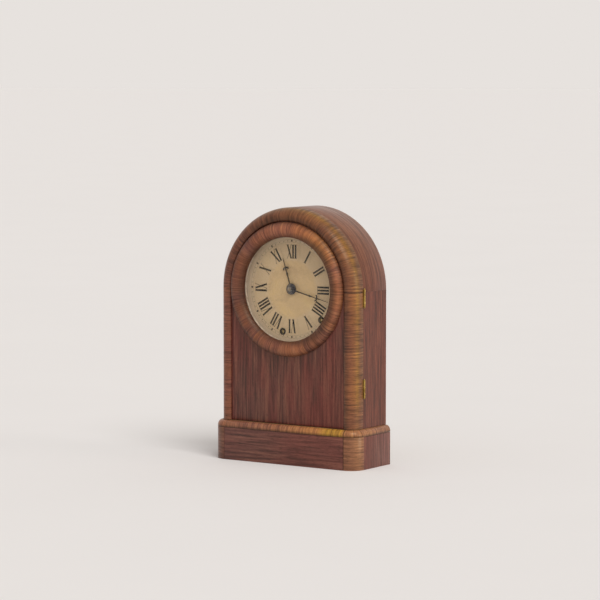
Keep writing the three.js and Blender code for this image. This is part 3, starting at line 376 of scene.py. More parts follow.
fit(
    block("plinth_front", (-CORNER_X, BASE_FRONT, 0), (CORNER_X, BASE_FRONT + BASE_BOARD, BASE_HEIGHT)),
    "case", "rosewood", plinth_wood, "base_front",
)
corner_outside = curve_of((CORNER_X, CORNER_Y), (CORNER_RADIUS, CORNER_RADIUS), -90, 0, 24)
corner_inside = curve_of((CORNER_X, CORNER_Y), (CORNER_RADIUS - BASE_BOARD,) * 2, 0, -90, 12)
corner_outside[0] = (CORNER_X + JOINT, BASE_FRONT)
corner_inside[-1] = (CORNER_X + JOINT, BASE_FRONT + BASE_BOARD)
side_plan = [*corner_outside, (BASE_HALF, BASE_BACK), (BASE_HALF - BASE_BOARD, BASE_BACK), *corner_inside]
plinth_right = drawn_out("plinth_side_right", [(x, y, 0) for x, y in side_plan], (0, 0, BASE_HEIGHT))
plinth_left = mirror_copy(plinth_right, "plinth_side_left")
for side, solid in ((plinth_right, "base_side_right"), (plinth_left, "base_side_left")):
    fit(side, "case", "rosewood", plinth_side_wood, solid)
    side.data.materials.append(corner_wood)
    for face in side.data.polygons:
        if face.center.y < CORNER_Y * MM:
            face.material_index = 1

# Quarter-round on the plinth's edge: crossbanded strips of rosewood glued over a pine core, the side
# ones bent round the corners. The veneer's grain runs up the curve, so it shows as short cross lines.
MOULDING_BOTTOM = 44
MOULDING_RISE = 9
MOULDING_OUT = 7
MOULDING_WALL = -35.5
MOULDING_EDGE = 1.2


def round_the_corner(finish):
    """Coordinates that run level round the plinth's corner: out, up, and the way round in metres."""
    middle_radius = (CORNER_RADIUS - MOULDING_OUT / 2) * MM
    parts = split(finish, place_on(finish))
    across = sums(finish, "SUBTRACT", sums(finish, "ABSOLUTE", parts[0], 0), CORNER_X * MM)
    back = sums(finish, "SUBTRACT", parts[1], CORNER_Y * MM)
    forward = sums(finish, "MAXIMUM", times(finish, back, -1), 0)
    beyond = sums(finish, "MAXIMUM", back, 0)
    turn = sums(finish, "ARCTAN2", across, forward)
    way = sums(finish, "ADD", times(finish, turn, middle_radius), beyond)
    return node(finish, "ShaderNodeCombineXYZ", {0: across, 1: parts[2], 2: way}).outputs[0]


moulding_section = [
    (JOINT, 0), (MOULDING_OUT, 0),
    *curve_of((JOINT, MOULDING_EDGE), (MOULDING_OUT - JOINT, MOULDING_RISE - MOULDING_EDGE), 8, 86, 14),
    (JOINT, MOULDING_RISE),
]
MOULDING_TONES = ((98, 60, 50), (136, 86, 66), (166, 116, 80), (158, 104, 66))


def moulding_light_and_joints(finish):
    """Painted shade under the roll, the dark joints at the corners, and a painted highlight that grows
    lighter towards the right and turns amber near the right corner.
    """
    parts = split(finish, place_on(finish))
    painted_highlight = tones(finish, eased(finish, parts[0], -0.12, 0.12, 0, 1), [
        (0.2, (0.98, 0.92, 1, 1)), (0.45, (1.22, 1.2, 1.12, 1)), (0.72, (1.32, 1.34, 1, 1)),
        (0.79, (1.44, 1.86, 0.56, 1)), (0.88, (1.48, 1.86, 0.58, 1)), (0.905, (1.16, 1.2, 0.98, 1)),
    ])
    shade_under_roll = eased(finish, parts[2], (MOULDING_BOTTOM + 0.4) * MM, (MOULDING_BOTTOM + 3.5) * MM, 0.36, 1)
    joints_and_painted_light = times(finish, shade_under_roll, corner_seam(finish))
    return shaded(finish, painted_highlight, joints_and_painted_light)


moulding_front_wood = rosewood(
    "Moulding rosewood", (1, 0.06, 0.06), MOULDING_TONES, marks_and_light=moulding_light_and_joints, coat=0.04,
)
moulding_side_wood = rosewood(
    "Bent moulding rosewood", GRAIN_ACROSS, MOULDING_TONES, laid=round_the_corner, marks_and_light=moulding_light_and_joints,
    coat=0.04,
)
strip = drawn_out(
    "moulding_front",
    [(-CORNER_X, MOULDING_WALL - out, MOULDING_BOTTOM + up) for out, up in moulding_section],
    (CORNER_X * 2, 0, 0), 0.1,
)
fit(strip, "case", "crossband", moulding_front_wood, "base_moulding_front")
bent = outline(
    "moulding_right",
    [(CORNER_X + JOINT, MOULDING_WALL - out, MOULDING_BOTTOM + up) for out, up in moulding_section],
)
spin_round(20, 90, (CORNER_X, CORNER_Y, 0), (0, 0, -1))
carry_along((0, BASE_BACK - CORNER_Y - JOINT, 0))
clean_up(bent, 0.1)
bent_left = mirror_copy(bent, "moulding_left")
fit(bent, "case", "crossband", moulding_side_wood, "base_moulding_right")
fit(bent_left, "case", "crossband", moulding_side_wood, "base_moulding_left")

# Case: two upright rosewood sides and an arch bent over them, its grain following the bend. A pine
# back is let in between them, and pine makes the floor, the back rail and the movement's cleats.
ARCH_CENTRE = 234
CASE_RADIUS = 109
CASE_INSIDE = 101
CASE_FRONT = -13.5
BACK_FRONT = 37.5
BACK_PLAY = 0.05
ARCH_SEAT = 0.25
ARCH_MIDDLE = Vector((0, 0, ARCH_CENTRE)) * MM
ARCH_STEPS = 96
FLOOR_TOP = 53


def round_the_arch(finish, angle=0.0):
    """Coordinates that follow the round top: out from its centre, depth, and the way round in metres."""
    places = {0: place_on(finish), 1: ARCH_MIDDLE}
    place = node(finish, "ShaderNodeVectorMath", places, operation="SUBTRACT").outputs[0]
    turn = {"Vector": place, "Angle": angle}
    parts = split(finish, node(finish, "ShaderNodeVectorRotate", turn, rotation_type="Y_AXIS").outputs[0])
    flat = node(finish, "ShaderNodeCombineXYZ", {0: parts[0], 2: parts[2]}).outputs[0]
    out = node(finish, "ShaderNodeVectorMath", {0: flat}, operation="LENGTH").outputs["Value"]
    way = times(finish, sums(finish, "ARCTAN2", parts[0], parts[2]), 0.1)
    return node(finish, "ShaderNodeCombineXYZ", {0: out, 1: parts[1], 2: way}).outputs[0]


def pine(name, pace):
    """Planed pine, darkened by age and left bare."""
    finish = new_finish(name, Specular_IOR_Level=0.3, Roughness=0.72)
    way = place_on(finish)
    rings = stretched_noise(finish, way, pace, 60, 3, 1.2)
    fibre = stretched_noise(finish, way, pace, 620, 4, 0.2)
    grime = even_noise(finish, 22, 3, 0.4)
    wood = tones(finish, rings, [(0.38, (128, 92, 58)), (0.47, (170, 132, 88)), (0.6, (184, 148, 104))])
    wood = shaded(finish, wood, tones(finish, fibre, [(0.35, grey(0.78)), (0.55, grey(1.04))]), 0.8)
    wood = shaded(finish, wood, tones(finish, grime, [(0.4, grey(0.7)), (0.62, grey(1))]), 0.6)
    give(finish, Base_Color=wood, Normal=relief(finish, fibre, 0.35, 0.0005))
    return finish


SIDE_TONES = ((64, 29, 24), (92, 42, 32), (118, 62, 43), (99, 40, 29))
BENT_TONES = ((94, 56, 43), (113, 69, 51), (136, 91, 65), (120, 70, 46))
side_wood = rosewood("Side rosewood", GRAIN_UPRIGHT, SIDE_TONES, lines=360)


def painted_top_light(finish):
    """Painted light from above: the round top lighter, and darker and redder down towards the springing."""
    parts = split(finish, place_on(finish))
    height = eased(finish, parts[2], ARCH_CENTRE * MM, (ARCH_CENTRE + 80) * MM, 0, 1)
    return tones(finish, height, [(0, (0.7, 0.5, 0.56, 1)), (1, grey(1))])


bent_wood = rosewood(
    "Bent rosewood", GRAIN_UPRIGHT, BENT_TONES, laid=round_the_arch, marks_and_light=painted_top_light, lines=360,
)
dress(side_wood, "case_side_left", "case_side_right")
pine_upright = pine("Upright pine", (1, 1, 0.05))
pine_level = pine("Level pine", (0.05, 1, 1))
dress(pine_level, "floor_board", "base_back_rail")
dress(pine_upright, "movement_cleat_left", "movement_cleat_right")


def swept_arch(name, section, ease):
    """A section of [out, y] bent round the half circle, from the right side over to the left."""
    piece = outline(name, [(out, y, ARCH_CENTRE) for out, y in section])
    spin_round(ARCH_STEPS, 180, (0, 0, ARCH_CENTRE), (0, 1, 0))
    return clean_up(piece, ease)


def arch_outline(radius, bottom, y):
    """A round-topped outline as the front shows it."""
    top = curve_of((0, ARCH_CENTRE), (radius, radius), 0, 180, ARCH_STEPS)
    return [(-radius, y, bottom), (radius, y, bottom), *[(x, y, z) for x, z in top]]


arch_section = [
    (CASE_INSIDE, CASE_FRONT), (CASE_RADIUS, CASE_FRONT), (CASE_RADIUS, BASE_BACK), (CASE_INSIDE, BASE_BACK),
]
case_arch = swept_arch("bent_arch", arch_section, 0.12)
for vertex in case_arch.data.vertices:
    if vertex.co.z < (ARCH_CENTRE + JOINT) * MM:
        vertex.co.z -= ARCH_SEAT * MM
fit(case_arch, "case", "rosewood", bent_wood, "case_arch")
raw_wood = rosewood(
    "Unpolished rosewood", GRAIN_UPRIGHT, SIDE_TONES, laid=round_the_arch, lines=360, polish=0.85, coat=0,
)
give(raw_wood, Specular_IOR_Level=0.15)
case_arch.data.materials.append(raw_wood)
for face in case_arch.data.polygons:
    outwards = face.center - ARCH_MIDDLE
    outwards.y = 0
    if outwards.dot(face.normal) < 0 and abs(face.normal.y) < 0.5:
        face.material_index = 1
back = drawn_out(
    "back_panel", arch_outline(CASE_INSIDE - BACK_PLAY, FLOOR_TOP + JOINT, BACK_FRONT),
    (0, BASE_BACK - BACK_FRONT, 0), 0.3,
)
BACK_SCREWS = [(-94, 62), (94, 62), (-94, 150), (94, 150), (-76, 290), (76, 290), (0, 328)]
SCREW_RADIUS = 2.6
SCREW_SUNK = 1.6


def cut_away(piece, cutter):
    """Takes the cutter's shape out of a piece."""
    take_up(piece)
    cut = piece.modifiers.new("Cut", "BOOLEAN")
    cut.operation = "DIFFERENCE"
    cut.object = cutter
    bpy.ops.object.modifier_apply(modifier=cut.name)
    bpy.data.objects.remove(cutter)


def bored(piece, radius, place, sides=96, start=-100, end=100):
    """Bores a round hole from front to back, with its centre at [x, z]."""
    put_down()
    bpy.ops.mesh.primitive_cylinder_add(
        vertices=sides, radius=radius * MM, depth=(end - start) * MM,
        location=Vector((place[0], (start + end) / 2, place[1])) * MM, rotation=(math.pi / 2, 0, 0),
    )
    cut_away(piece, named("boring_bit"))
    bpy.ops.object.shade_smooth_by_angle(angle=math.radians(32))


for place in BACK_SCREWS:
    bored(back, SCREW_RADIUS + 0.3, place, 24, BASE_BACK - SCREW_SUNK, BASE_BACK + 1)
fit(back, "case", "pine", pine_upright, "back_board")

# Door frame: a cushion moulding that rolls from a flat edge by the case, over its crest and down to
# the panel. Two stiles and a bent arch, butted at the springing, all veneered across their length.
DOOR_INNER = 91
DOOR_BACK = -13.8
DOOR_BOTTOM = 53.6
CREST_ACROSS = 97
EDGE_Y = -17.2
CREST_Y = -35.5
QUIRK_Y = -32.8

cushion = [
    (DOOR_INNER, DOOR_BACK), (CASE_RADIUS, DOOR_BACK),
    *curve_of((CREST_ACROSS, EDGE_Y), (CASE_RADIUS - CREST_ACROSS, EDGE_Y - CREST_Y), 0, -90, 20),
    *curve_of((CREST_ACROSS, QUIRK_Y), (CREST_ACROSS - DOOR_INNER, QUIRK_Y - CREST_Y), -90, -170, 8)[1:],
    (DOOR_INNER, QUIRK_Y),
]
STILE_HEIGHT = ARCH_CENTRE - JOINT - DOOR_BOTTOM
# Heights over which the painted highlight on the outer roll weakens towards the door's foot.
AMBER_ENDS = (0.072, 0.1)
BAND_TONES = ((84, 48, 39), (116, 70, 52), (146, 95, 64), (132, 82, 49))


def frame_light_and_joints(finish, across):
    """Painted shade in the hollow by the panel, less of it on the left, and a dark joint at the springing;
    a painted amber highlight along the outer roll, weaker at its foot; and painted shade over the left
    of the arch."""
    parts = split(finish, place_on(finish))
    depth = eased(finish, parts[0], -DOOR_INNER * MM, -DOOR_INNER * 0.5 * MM, 1, 0.6)
    quirk_shade = eased(finish, across, (DOOR_INNER + 1) * MM, (DOOR_INNER + 9) * MM, depth, 1)
    spring = dark_line(finish, parts[2], (ARCH_CENTRE - JOINT / 2) * MM, 0.0006)
    joints_and_painted_light = times(finish, quirk_shade, spring)
    sides = tones(finish, eased(finish, parts[0], -0.11, 0.11, 0, 1), [
        (0.07, (1.06, 1.02, 1.34, 1)), (0.2, (0.84, 0.77, 0.9, 1)), (0.55, grey(0.96)), (0.75, grey(1)),
    ])
    painted_highlight = tones(finish, eased(finish, across, CREST_ACROSS * MM, CASE_RADIUS * MM, 0, 1), [
        (0.1, (0.95, 0.9, 0.92, 1)), (0.5, (1.08, 1.06, 0.94, 1)), (0.75, (1.18, 1.22, 0.8, 1)),
        (0.88, (1.26, 1.5, 0.66, 1)), (0.95, (1.06, 1.26, 0.8, 1)), (0.985, (0.97, 1.14, 1.1, 1)),
    ])
    kept = eased(finish, parts[2], *AMBER_ENDS, 0.6, 0)
    painted_highlight = blend_colours(finish, "MIX", kept, painted_highlight, (0.98, 0.99, 0.98, 1))
    return shaded(finish, shaded(finish, sides, painted_highlight), joints_and_painted_light)


def stile_light_and_joints(finish):
    parts = split(finish, place_on(finish))
    return frame_light_and_joints(finish, sums(finish, "ABSOLUTE", parts[0], 0))


def arch_light_and_joints(finish):
    parts = split(finish, round_the_arch(finish))
    return shaded(finish, frame_light_and_joints(finish, parts[0]), (0.87, 0.89, 0.88, 1))


arch_band = rosewood(
    "Arch crossbanding", GRAIN_ACROSS, BAND_TONES, laid=round_the_arch, marks_and_light=arch_light_and_joints, polish=0.42, coat=0.04,
)
stile_band = rosewood("Stile crossbanding", GRAIN_ACROSS, BAND_TONES, marks_and_light=stile_light_and_joints, polish=0.4, coat=0.08)
fit(swept_arch("arch_cushion", cushion, 0), "door", "crossband", arch_band, "arch_moulding")
stile = drawn_out("stile_cushion_right", [(x, y, DOOR_BOTTOM) for x, y in cushion], (0, 0, STILE_HEIGHT), 0)
stile_left = mirror_copy(stile, "stile_cushion_left")
fit(stile, "door", "crossband", stile_band, "stile_right")
fit(stile_left, "door", "crossband", stile_band, "stile_left")

# Door panel: one wide leaf of rosewood veneer, its grain upright, with a round hole for the bezel.
# A plain rail behind its foot keeps it flat.
PANEL_FRONT = -32
PANEL_BACK = -23
BEZEL_HOLE = 80.3
PANEL_TONES = ((56, 33, 32), (95, 50, 46), (124, 81, 64), (110, 43, 41))

panel_wood = rosewood("Panel rosewood", GRAIN_UPRIGHT, PANEL_TONES, lines=380)
panel = drawn_out(
    "panel_leaf", arch_outline(DOOR_INNER - JOINT, DOOR_BOTTOM, PANEL_FRONT),
    (0, PANEL_BACK - PANEL_FRONT, 0), 0.2,
)
bored(panel, BEZEL_HOLE, (0, ARCH_CENTRE))
fit(panel, "door", "rosewood", panel_wood, "door_panel")
dress(panel_wood, "door_bottom_rail")

# Bezel: a ring turned from four pieces of rosewood, crossbanded so the grain points to its centre,
# with fine glued joints. Behind its lip a pane of glass is held by a thin bead.
BEZEL_RADIUS = 90
OPENING_RADIUS = 69.5
CREST_RADIUS = 80.75
BEZEL_CREST = -40.7
INNER_EDGE_Y = -31.9
OUTER_EDGE_Y = -32.3
SPIGOT_RADIUS = 80
SPIGOT_BACK = -23.6
REBATE_RADIUS = 74.3
REBATE_Y = -30.6
GLASS_RADIUS = 74
GLASS_FRONT = -30.3
GLASS_BACK = -28.3
BEAD_INNER = 70.2
BEAD_OUTER = 73.8
BEAD_FRONT = -28
# How much further in the painted shade along the bezel's inner and outer edges reaches on the right.
INNER_SHADE_SHIFT = 8.8
OUTER_SHADE_SHIFT = 3
BEZEL_JOINTS = [math.radians(a) for a in (-4, 92, 143.8, 267)]
BEZEL_FIRST_JOINT = math.radians(143.8 - 180)


def turned(name, profile, centre=(0, ARCH_CENTRE), steps=128, ease=0, smooth=32):
    """A piece turned about an axis from front to back: the profile holds [radius, y]."""
    piece = outline(name, [(centre[0] + radius, y, centre[1]) for radius, y in profile])
    on_axis = [index for index, (radius, y) in enumerate(profile) if radius == 0]
    if on_axis:
        bpy.ops.object.mode_set(mode="OBJECT")
        for edge in piece.data.edges:
            edge.select = all(index in on_axis for index in edge.vertices)
        bpy.ops.object.mode_set(mode="EDIT")
        bpy.ops.mesh.select_mode(type="EDGE")
        bpy.ops.mesh.delete(type="EDGE_FACE")
        bpy.ops.mesh.select_mode(type="VERT")
        bpy.ops.mesh.select_all(action="SELECT")
    spin_round(steps, 360, (centre[0], 0, centre[1]), (0, 1, 0))
    return clean_up(piece, ease, smooth)


def bezel_light_and_joints(finish):
    """Thin dark joints across the ring; painted shade along its two edges, reaching further in on the
    right, with a lighter crest between; a painted amber highlight high on the right; painted shade over
    the left side; and painted light from above, lighter towards the top."""
    parts = split(finish, round_the_arch(finish))
    place = split(finish, place_on(finish))
    right = eased(finish, place[0], 0, 0.06, 0, 1)
    from_inside = sums(finish, "ADD", parts[0], times(finish, right, -INNER_SHADE_SHIFT * MM))
    inner = eased(finish, from_inside, OPENING_RADIUS * MM, (OPENING_RADIUS + 7) * MM, 0.45, 1.1)
    from_outside = sums(finish, "ADD", parts[0], times(finish, right, -OUTER_SHADE_SHIFT * MM))
    outer = eased(finish, from_outside, (BEZEL_RADIUS - 7) * MM, BEZEL_RADIUS * MM, 1.1, 0.4)
    joints_and_painted_light = times(finish, inner, outer)
    for joint in BEZEL_JOINTS:
        where = (joint if joint <= math.pi else joint - math.tau) * 0.1
        joints_and_painted_light = times(finish, joints_and_painted_light, dark_line(finish, parts[2], where, 0.0006, 0.45))
    sides = tones(finish, eased(finish, place[0], -0.09, 0.09, 0, 1), [
        (0.08, (0.5, 0.51, 0.67, 1)), (0.4, (0.98, 1, 1.03, 1)), (0.6, (1.06, 1.08, 1.06, 1)),
        (0.85, (0.94, 1, 1.04, 1)),
    ])
    amber = tones(finish, eased(finish, parts[2], 0, 0.12, 0, 1), [
        (0, grey(1)), (0.4, (0.98, 1.04, 0.88, 1)), (0.65, (0.99, 1.1, 0.76, 1)), (1, grey(1)),
    ])
    sides = shaded(finish, sides, amber)
    painted_light_from_above = eased(finish, place[2], (ARCH_CENTRE - 70) * MM, (ARCH_CENTRE + 70) * MM, 0.86, 1.14)
    joints_and_painted_light = times(finish, joints_and_painted_light, painted_light_from_above)
    return shaded(finish, sides, joints_and_painted_light)


inner_roll = (CREST_RADIUS - OPENING_RADIUS, INNER_EDGE_Y - BEZEL_CREST)
outer_roll = (BEZEL_RADIUS - CREST_RADIUS, OUTER_EDGE_Y - BEZEL_CREST)
bezel_profile = [
    (OPENING_RADIUS, REBATE_Y),
    *curve_of((CREST_RADIUS, INNER_EDGE_Y), inner_roll, -168, -90, 16),
    *curve_of((CREST_RADIUS, OUTER_EDGE_Y), outer_roll, -90, 0, 16)[1:],
    (SPIGOT_RADIUS, OUTER_EDGE_Y), (SPIGOT_RADIUS, SPIGOT_BACK),
    (REBATE_RADIUS, SPIGOT_BACK), (REBATE_RADIUS, REBATE_Y),
]
BEZEL_TONES = ((88, 48, 42), (126, 74, 58), (156, 102, 70), (158, 92, 52))
bezel_wood = rosewood(
    "Bezel crossbanding", GRAIN_ACROSS, BEZEL_TONES, marks_and_light=bezel_light_and_joints, polish=0.5, coat=0.02,
    laid=lambda finish: round_the_arch(finish, BEZEL_FIRST_JOINT),
)
fit(turned("bezel_ring", bezel_profile), "door", "crossband", bezel_wood, "dial_bezel")

glass = new_finish("Old window glass", Roughness=0.03, IOR=1.45, Transmission_Weight=1.0, Alpha=0.06)
flow = stretched_noise(glass, place_on(glass), (1, 1, 0.4), 40, 2, 0.3)
tint = tones(glass, flow, [(0.3, (244, 250, 246)), (0.7, (236, 246, 240))])
give(glass, Base_Color=tint, Normal=relief(glass, flow, 0.06, 0.0004))
pane_profile = [(0, GLASS_FRONT), (GLASS_RADIUS, GLASS_FRONT), (GLASS_RADIUS, GLASS_BACK), (0, GLASS_BACK)]
fit(turned("window_pane", pane_profile, ease=0.15), "door", "glass", glass, "door_glass")
bead_profile = [
    (BEAD_INNER, BEAD_FRONT), (BEAD_OUTER, BEAD_FRONT), (BEAD_OUTER, SPIGOT_BACK),
    (BEAD_INNER + 1.6, SPIGOT_BACK), (BEAD_INNER, SPIGOT_BACK - 1.8),
]
bead_paint = new_finish("Painted bead", Roughness=0.6, Specular_IOR_Level=0.3)
chips = even_noise(bead_paint, 160, 4, 0.3)
give(bead_paint, Base_Color=tones(bead_paint, chips, [(0.36, (168, 148, 126)), (0.56, (204, 188, 168))]))
fit(turned("window_bead", bead_profile, ease=0.2), "door", "pine", bead_paint, "glass_bead")

# Hinges: small brass butts let into the joint between door and case, so that only their barrels
# show as two thin bright lines. A pin with turned ends runs through each.
HINGE_X = 110.8
HINGE_Y = -13.65
LOWER_HINGE = 106
HINGE_RISE = 120
HINGE_LENGTH = 24
KNUCKLE_RADIUS = 1.2
KNUCKLE_GAP = 0.15
LEAF_EDGE = 97.8
LEAF_THICKNESS = 1
HINGE_LEAVES = (("door", [1], -14.75), ("case", [0, 2], -13.55))


def patchy(name, patches, stops, roughness, pace=(1, 1, 1), **sockets):
    """A finish that changes its colour and its gloss in patches, given as how often they come, how fine
    they are and how far they wander."""
    finish = new_finish(name, **sockets)
    amount = stretched_noise(finish, place_on(finish), pace, *patches)
    dulled = eased(finish, amount, 0.3, 0.7, *roughness)
    give(finish, Base_Color=tones(finish, amount, stops), Roughness=dulled)
    return finish


def brass(name, polish, base=(178, 148, 84), stain=(146, 116, 62)):
    """Brass with faint scratches, and browner where the lacquer has gone."""
    stops = [(0.32, stain), (0.6, base)]
    finish = patchy(name, (90, 3, 0.2), stops, (polish + 0.08, polish), Metallic=1.0)
    scratches = stretched_noise(finish, place_on(finish), (1, 1, 0.1), 1600, 3, 0)
    give(finish, Normal=relief(finish, scratches, 0.12, 0.0001))
    return finish


def rod(name, radius, start, end, sides=32, ease=0.15):
    """A round bar between two points."""
    put_down()
    start, end = Vector(start) * MM, Vector(end) * MM
    turn = (end - start).to_track_quat("Z", "Y").to_euler()
    bpy.ops.mesh.primitive_cylinder_add(
        vertices=sides, radius=radius * MM, depth=(end - start).length, location=(start + end) / 2,
        rotation=turn,
    )
    piece = named(name)
    bpy.ops.object.transform_apply()
    return clean_up(piece, ease)


def joined(name, pieces):
    """Several shapes made one piece."""
    put_down()
    for piece in pieces:
        piece.select_set(True)
    bpy.context.view_layer.objects.active = pieces[0]
    bpy.ops.object.join()
    return named(name)


def copied(piece, name, way):
    """The same piece again, moved by a way in millimetres."""
    take_up(piece)
    bpy.ops.object.duplicate()
    other = named(name)
    other.location = Vector(way) * MM
    bpy.ops.object.transform_apply()
    return other


hinge_brass = brass("Hinge brass", 0.34, base=(188, 158, 86), stain=(142, 112, 58))
foot = LOWER_HINGE - HINGE_LENGTH / 2
third = HINGE_LENGTH / 3
inside = HINGE_X - KNUCKLE_RADIUS
hinge_parts = []
for owner, knuckles, leaf_y in HINGE_LEAVES:
    leaf_back = leaf_y + LEAF_THICKNESS
    parts = [block("leaf", (LEAF_EDGE, leaf_y, foot), (inside, leaf_back, foot + HINGE_LENGTH), 0.1)]
    for knuckle in knuckles:
        low = foot + knuckle * third + KNUCKLE_GAP
        high = foot + (knuckle + 1) * third - KNUCKLE_GAP
        parts += [
            rod("knuckle", KNUCKLE_RADIUS, (HINGE_X, HINGE_Y, low), (HINGE_X, HINGE_Y, high), 32, 0.2),
            block("strap", (inside - 0.2, leaf_y, low), (HINGE_X - 0.5, leaf_back, high), 0.1),
        ]
    hinge_parts.append((joined(f"hinge_lower_{owner}_butt", parts), owner, f"{owner}_leaf"))
reach = HINGE_LENGTH / 2
pin_profile = [
    (0, -reach - 1.4), (0.7, -reach - 1.1), (1, -reach - 0.6), (0.5, -reach - 0.1),
    (0.5, reach + 0.1), (1, reach + 0.6), (0.7, reach + 1.1), (0, reach + 1.4),
]
pin = outline("hinge_lower_pin_bar", [(HINGE_X + r, HINGE_Y, LOWER_HINGE + z) for r, z in pin_profile])
spin_round(24, 360, (HINGE_X, HINGE_Y, LOWER_HINGE), (0, 0, 1))
hinge_parts.append((clean_up(pin), "case", "pin"))
for lower, owner, solid in hinge_parts:
    upper = copied(lower, lower.name.replace("lower", "upper"), (0, 0, HINGE_RISE))
    fit(lower, owner, "brass", hinge_brass, f"hinge_lower_{solid}")
    fit(upper, owner, "brass", hinge_brass, f"hinge_upper_{solid}")

# Latch: a flat brass hook on a slotted screw in the case's left side, which turns over onto a small
# pin in the door's edge. It hangs open here.
LATCH_Y = -3.5
LATCH_HEIGHT = 150
LATCH_REACH = 12
LATCH_THICKNESS = 1.2
HOOK_OUTSIDE = -110.6
HOOK_RADII = (3.2, 3.2)
THROAT_RADII = (1.2, 1.2)
HEAD_RADIUS = 2.5
HEAD_OUT = -112.1
HEAD_HEIGHT = 1.2
SLOT_DEPTH = 0.5
SLOT_HALF = 0.3
SLOT_REACH = 4
SHANK_RADIUS = 1.2
SHANK_IN = -104
STOP_RADIUS = 0.7
STOP_OUT = -111.6

hook_plan = [
    *curve_of((0, 0), HOOK_RADII, -112, 195, 40),
    *curve_of((0, -LATCH_REACH), HOOK_RADII, 180, 320, 20),
    *curve_of((0, -LATCH_REACH), THROAT_RADII, 320, 180, 20),
]
hook_places = [(HOOK_OUTSIDE, LATCH_Y + back, LATCH_HEIGHT + up) for back, up in hook_plan]
hook = drawn_out("latch_hook_plate", hook_places, (LATCH_THICKNESS, 0, 0), 0.25)
fit(hook, "latch", "brass", hinge_brass, "latch_hook")


def slotted(piece, low, high):
    """Saws a screw's slot between two corners."""
    cut_away(piece, block("slot_saw", low, high, 0.01))


def on_screw_line(out):
    return (out, LATCH_Y, LATCH_HEIGHT)


head_ends = [on_screw_line(HEAD_OUT), on_screw_line(HEAD_OUT + HEAD_HEIGHT)]
head = rod("screw_head", HEAD_RADIUS, *head_ends, 32, 0.5)
slot_low = (HEAD_OUT - 0.9, LATCH_Y - SLOT_HALF, LATCH_HEIGHT - SLOT_REACH)
slotted(head, slot_low, (HEAD_OUT + SLOT_DEPTH, LATCH_Y + SLOT_HALF, LATCH_HEIGHT + SLOT_REACH))
shank = rod("screw_shank", SHANK_RADIUS, on_screw_line(HEAD_OUT + 0.7), on_screw_line(SHANK_IN), 24)
fit(joined("latch_slotted_screw", [head, shank]), "case", "brass", hinge_brass, "latch_screw")
pin_y = LATCH_Y - LATCH_REACH
pin_ends = [(out, pin_y, LATCH_HEIGHT) for out in (STOP_OUT, SHANK_IN)]
pin = rod("latch_stop_pin", STOP_RADIUS, *pin_ends, 24, 0.3)
fit(pin, "door", "brass", hinge_brass, "latch_pin")

# Back screws: seven slotted brass wood screws that hold the pine back in the case. Their heads are
# sunk in it all round its edge.
x, z = BACK_SCREWS[0]
foot = BASE_BACK - SCREW_SUNK + 0.05
top = foot + HEAD_HEIGHT
screw = rod("back_screw_0", SCREW_RADIUS, (x, foot, z), (x, top, z), 32, 0.3)
slot_low = (x - SLOT_REACH, top - SLOT_DEPTH, z - SLOT_HALF)
slotted(screw, slot_low, (x + SLOT_REACH, top + 0.8, z + SLOT_HALF))
screws = [screw]
for number, place in enumerate(BACK_SCREWS[1:], 1):
    screws.append(copied(screw, f"back_screw_{number}", (place[0] - x, 0, place[1] - z)))
for screw in screws:
    fit(screw, "case", "brass", hinge_brass)

# Dial: a disc of zinc on four feet, coated with cream paint that has browned, and lettered in black.
# An iron grommet lines each winding hole.
DIAL_RADIUS = 79
DIAL_FRONT = -20.5
DIAL_BACK = -19.5
ARBOR_HOLE = 4.8
WINDING_HOLE = 4.3
FOOT_RADIUS = 2.2
FOOT_END = -2.3
WINDING_HOLES = {"time": (47.1, -39.2), "strike": (-14.6, -57.5)}
DIAL_FEET = [(-53, 40), (58, 34), (-53, -34), (60, -10)]
NUMERAL_FOOT = 41
NUMERAL_HEIGHT = 18
LETTER_WIDTHS = {"I": 4.1, "V": 7.6, "X": 7.8}
THICK_STROKE = 2.5
THIN_STROKE = 0.65
SERIF_REACH = 0.6
SERIF_HALF = 0.25
TRACK_RADIUS = 64.4
TRACK_CIRCLES = (62.6, 66.2)
CIRCLE_HALF = 0.08
FIVE_MINUTE_DOT = 1.5
MINUTE_DOT = 0.6
PAINT_UNDER = DIAL_FRONT + 0.02
PAINT_OVER = DIAL_FRONT - 0.05
PALE_RING = (0.036, 0.041)
GREY_RIM_AND_LIGHT = (0.06, 0.072)

dial_paint = new_finish("Aged dial paint", Roughness=0.5, Specular_IOR_Level=0.35)
blotches = even_noise(dial_paint, 34, 4, 0.8)
specks = even_noise(dial_paint, 420, 3, 0.2)
browned = [(0.36, (192, 162, 122)), (0.5, (204, 174, 130)), (0.64, (208, 178, 128))]
paint = tones(dial_paint, blotches, browned)
dusty = tones(dial_paint, specks, [(0.36, grey(0.86)), (0.52, grey(1.02))])
paint = shaded(dial_paint, paint, dusty, 0.5)
from_centre = split(dial_paint, round_the_arch(dial_paint))[0]
paler = eased(dial_paint, from_centre, *PALE_RING, 0, 0.5)
paint = blend_colours(dial_paint, "MIX", paler, paint, screen_colour(196, 174, 144))
# The rim is pale grey paint, lightened further as painted light against the shade under the bezel's lip.
grey_rim_and_painted_light = eased(dial_paint, from_centre, *GREY_RIM_AND_LIGHT, 0, 0.75)
paint = blend_colours(dial_paint, "MIX", grey_rim_and_painted_light, paint, screen_colour(212, 194, 170))
give(dial_paint, Base_Color=paint, Normal=relief(dial_paint, specks, 0.15, 0.0002))

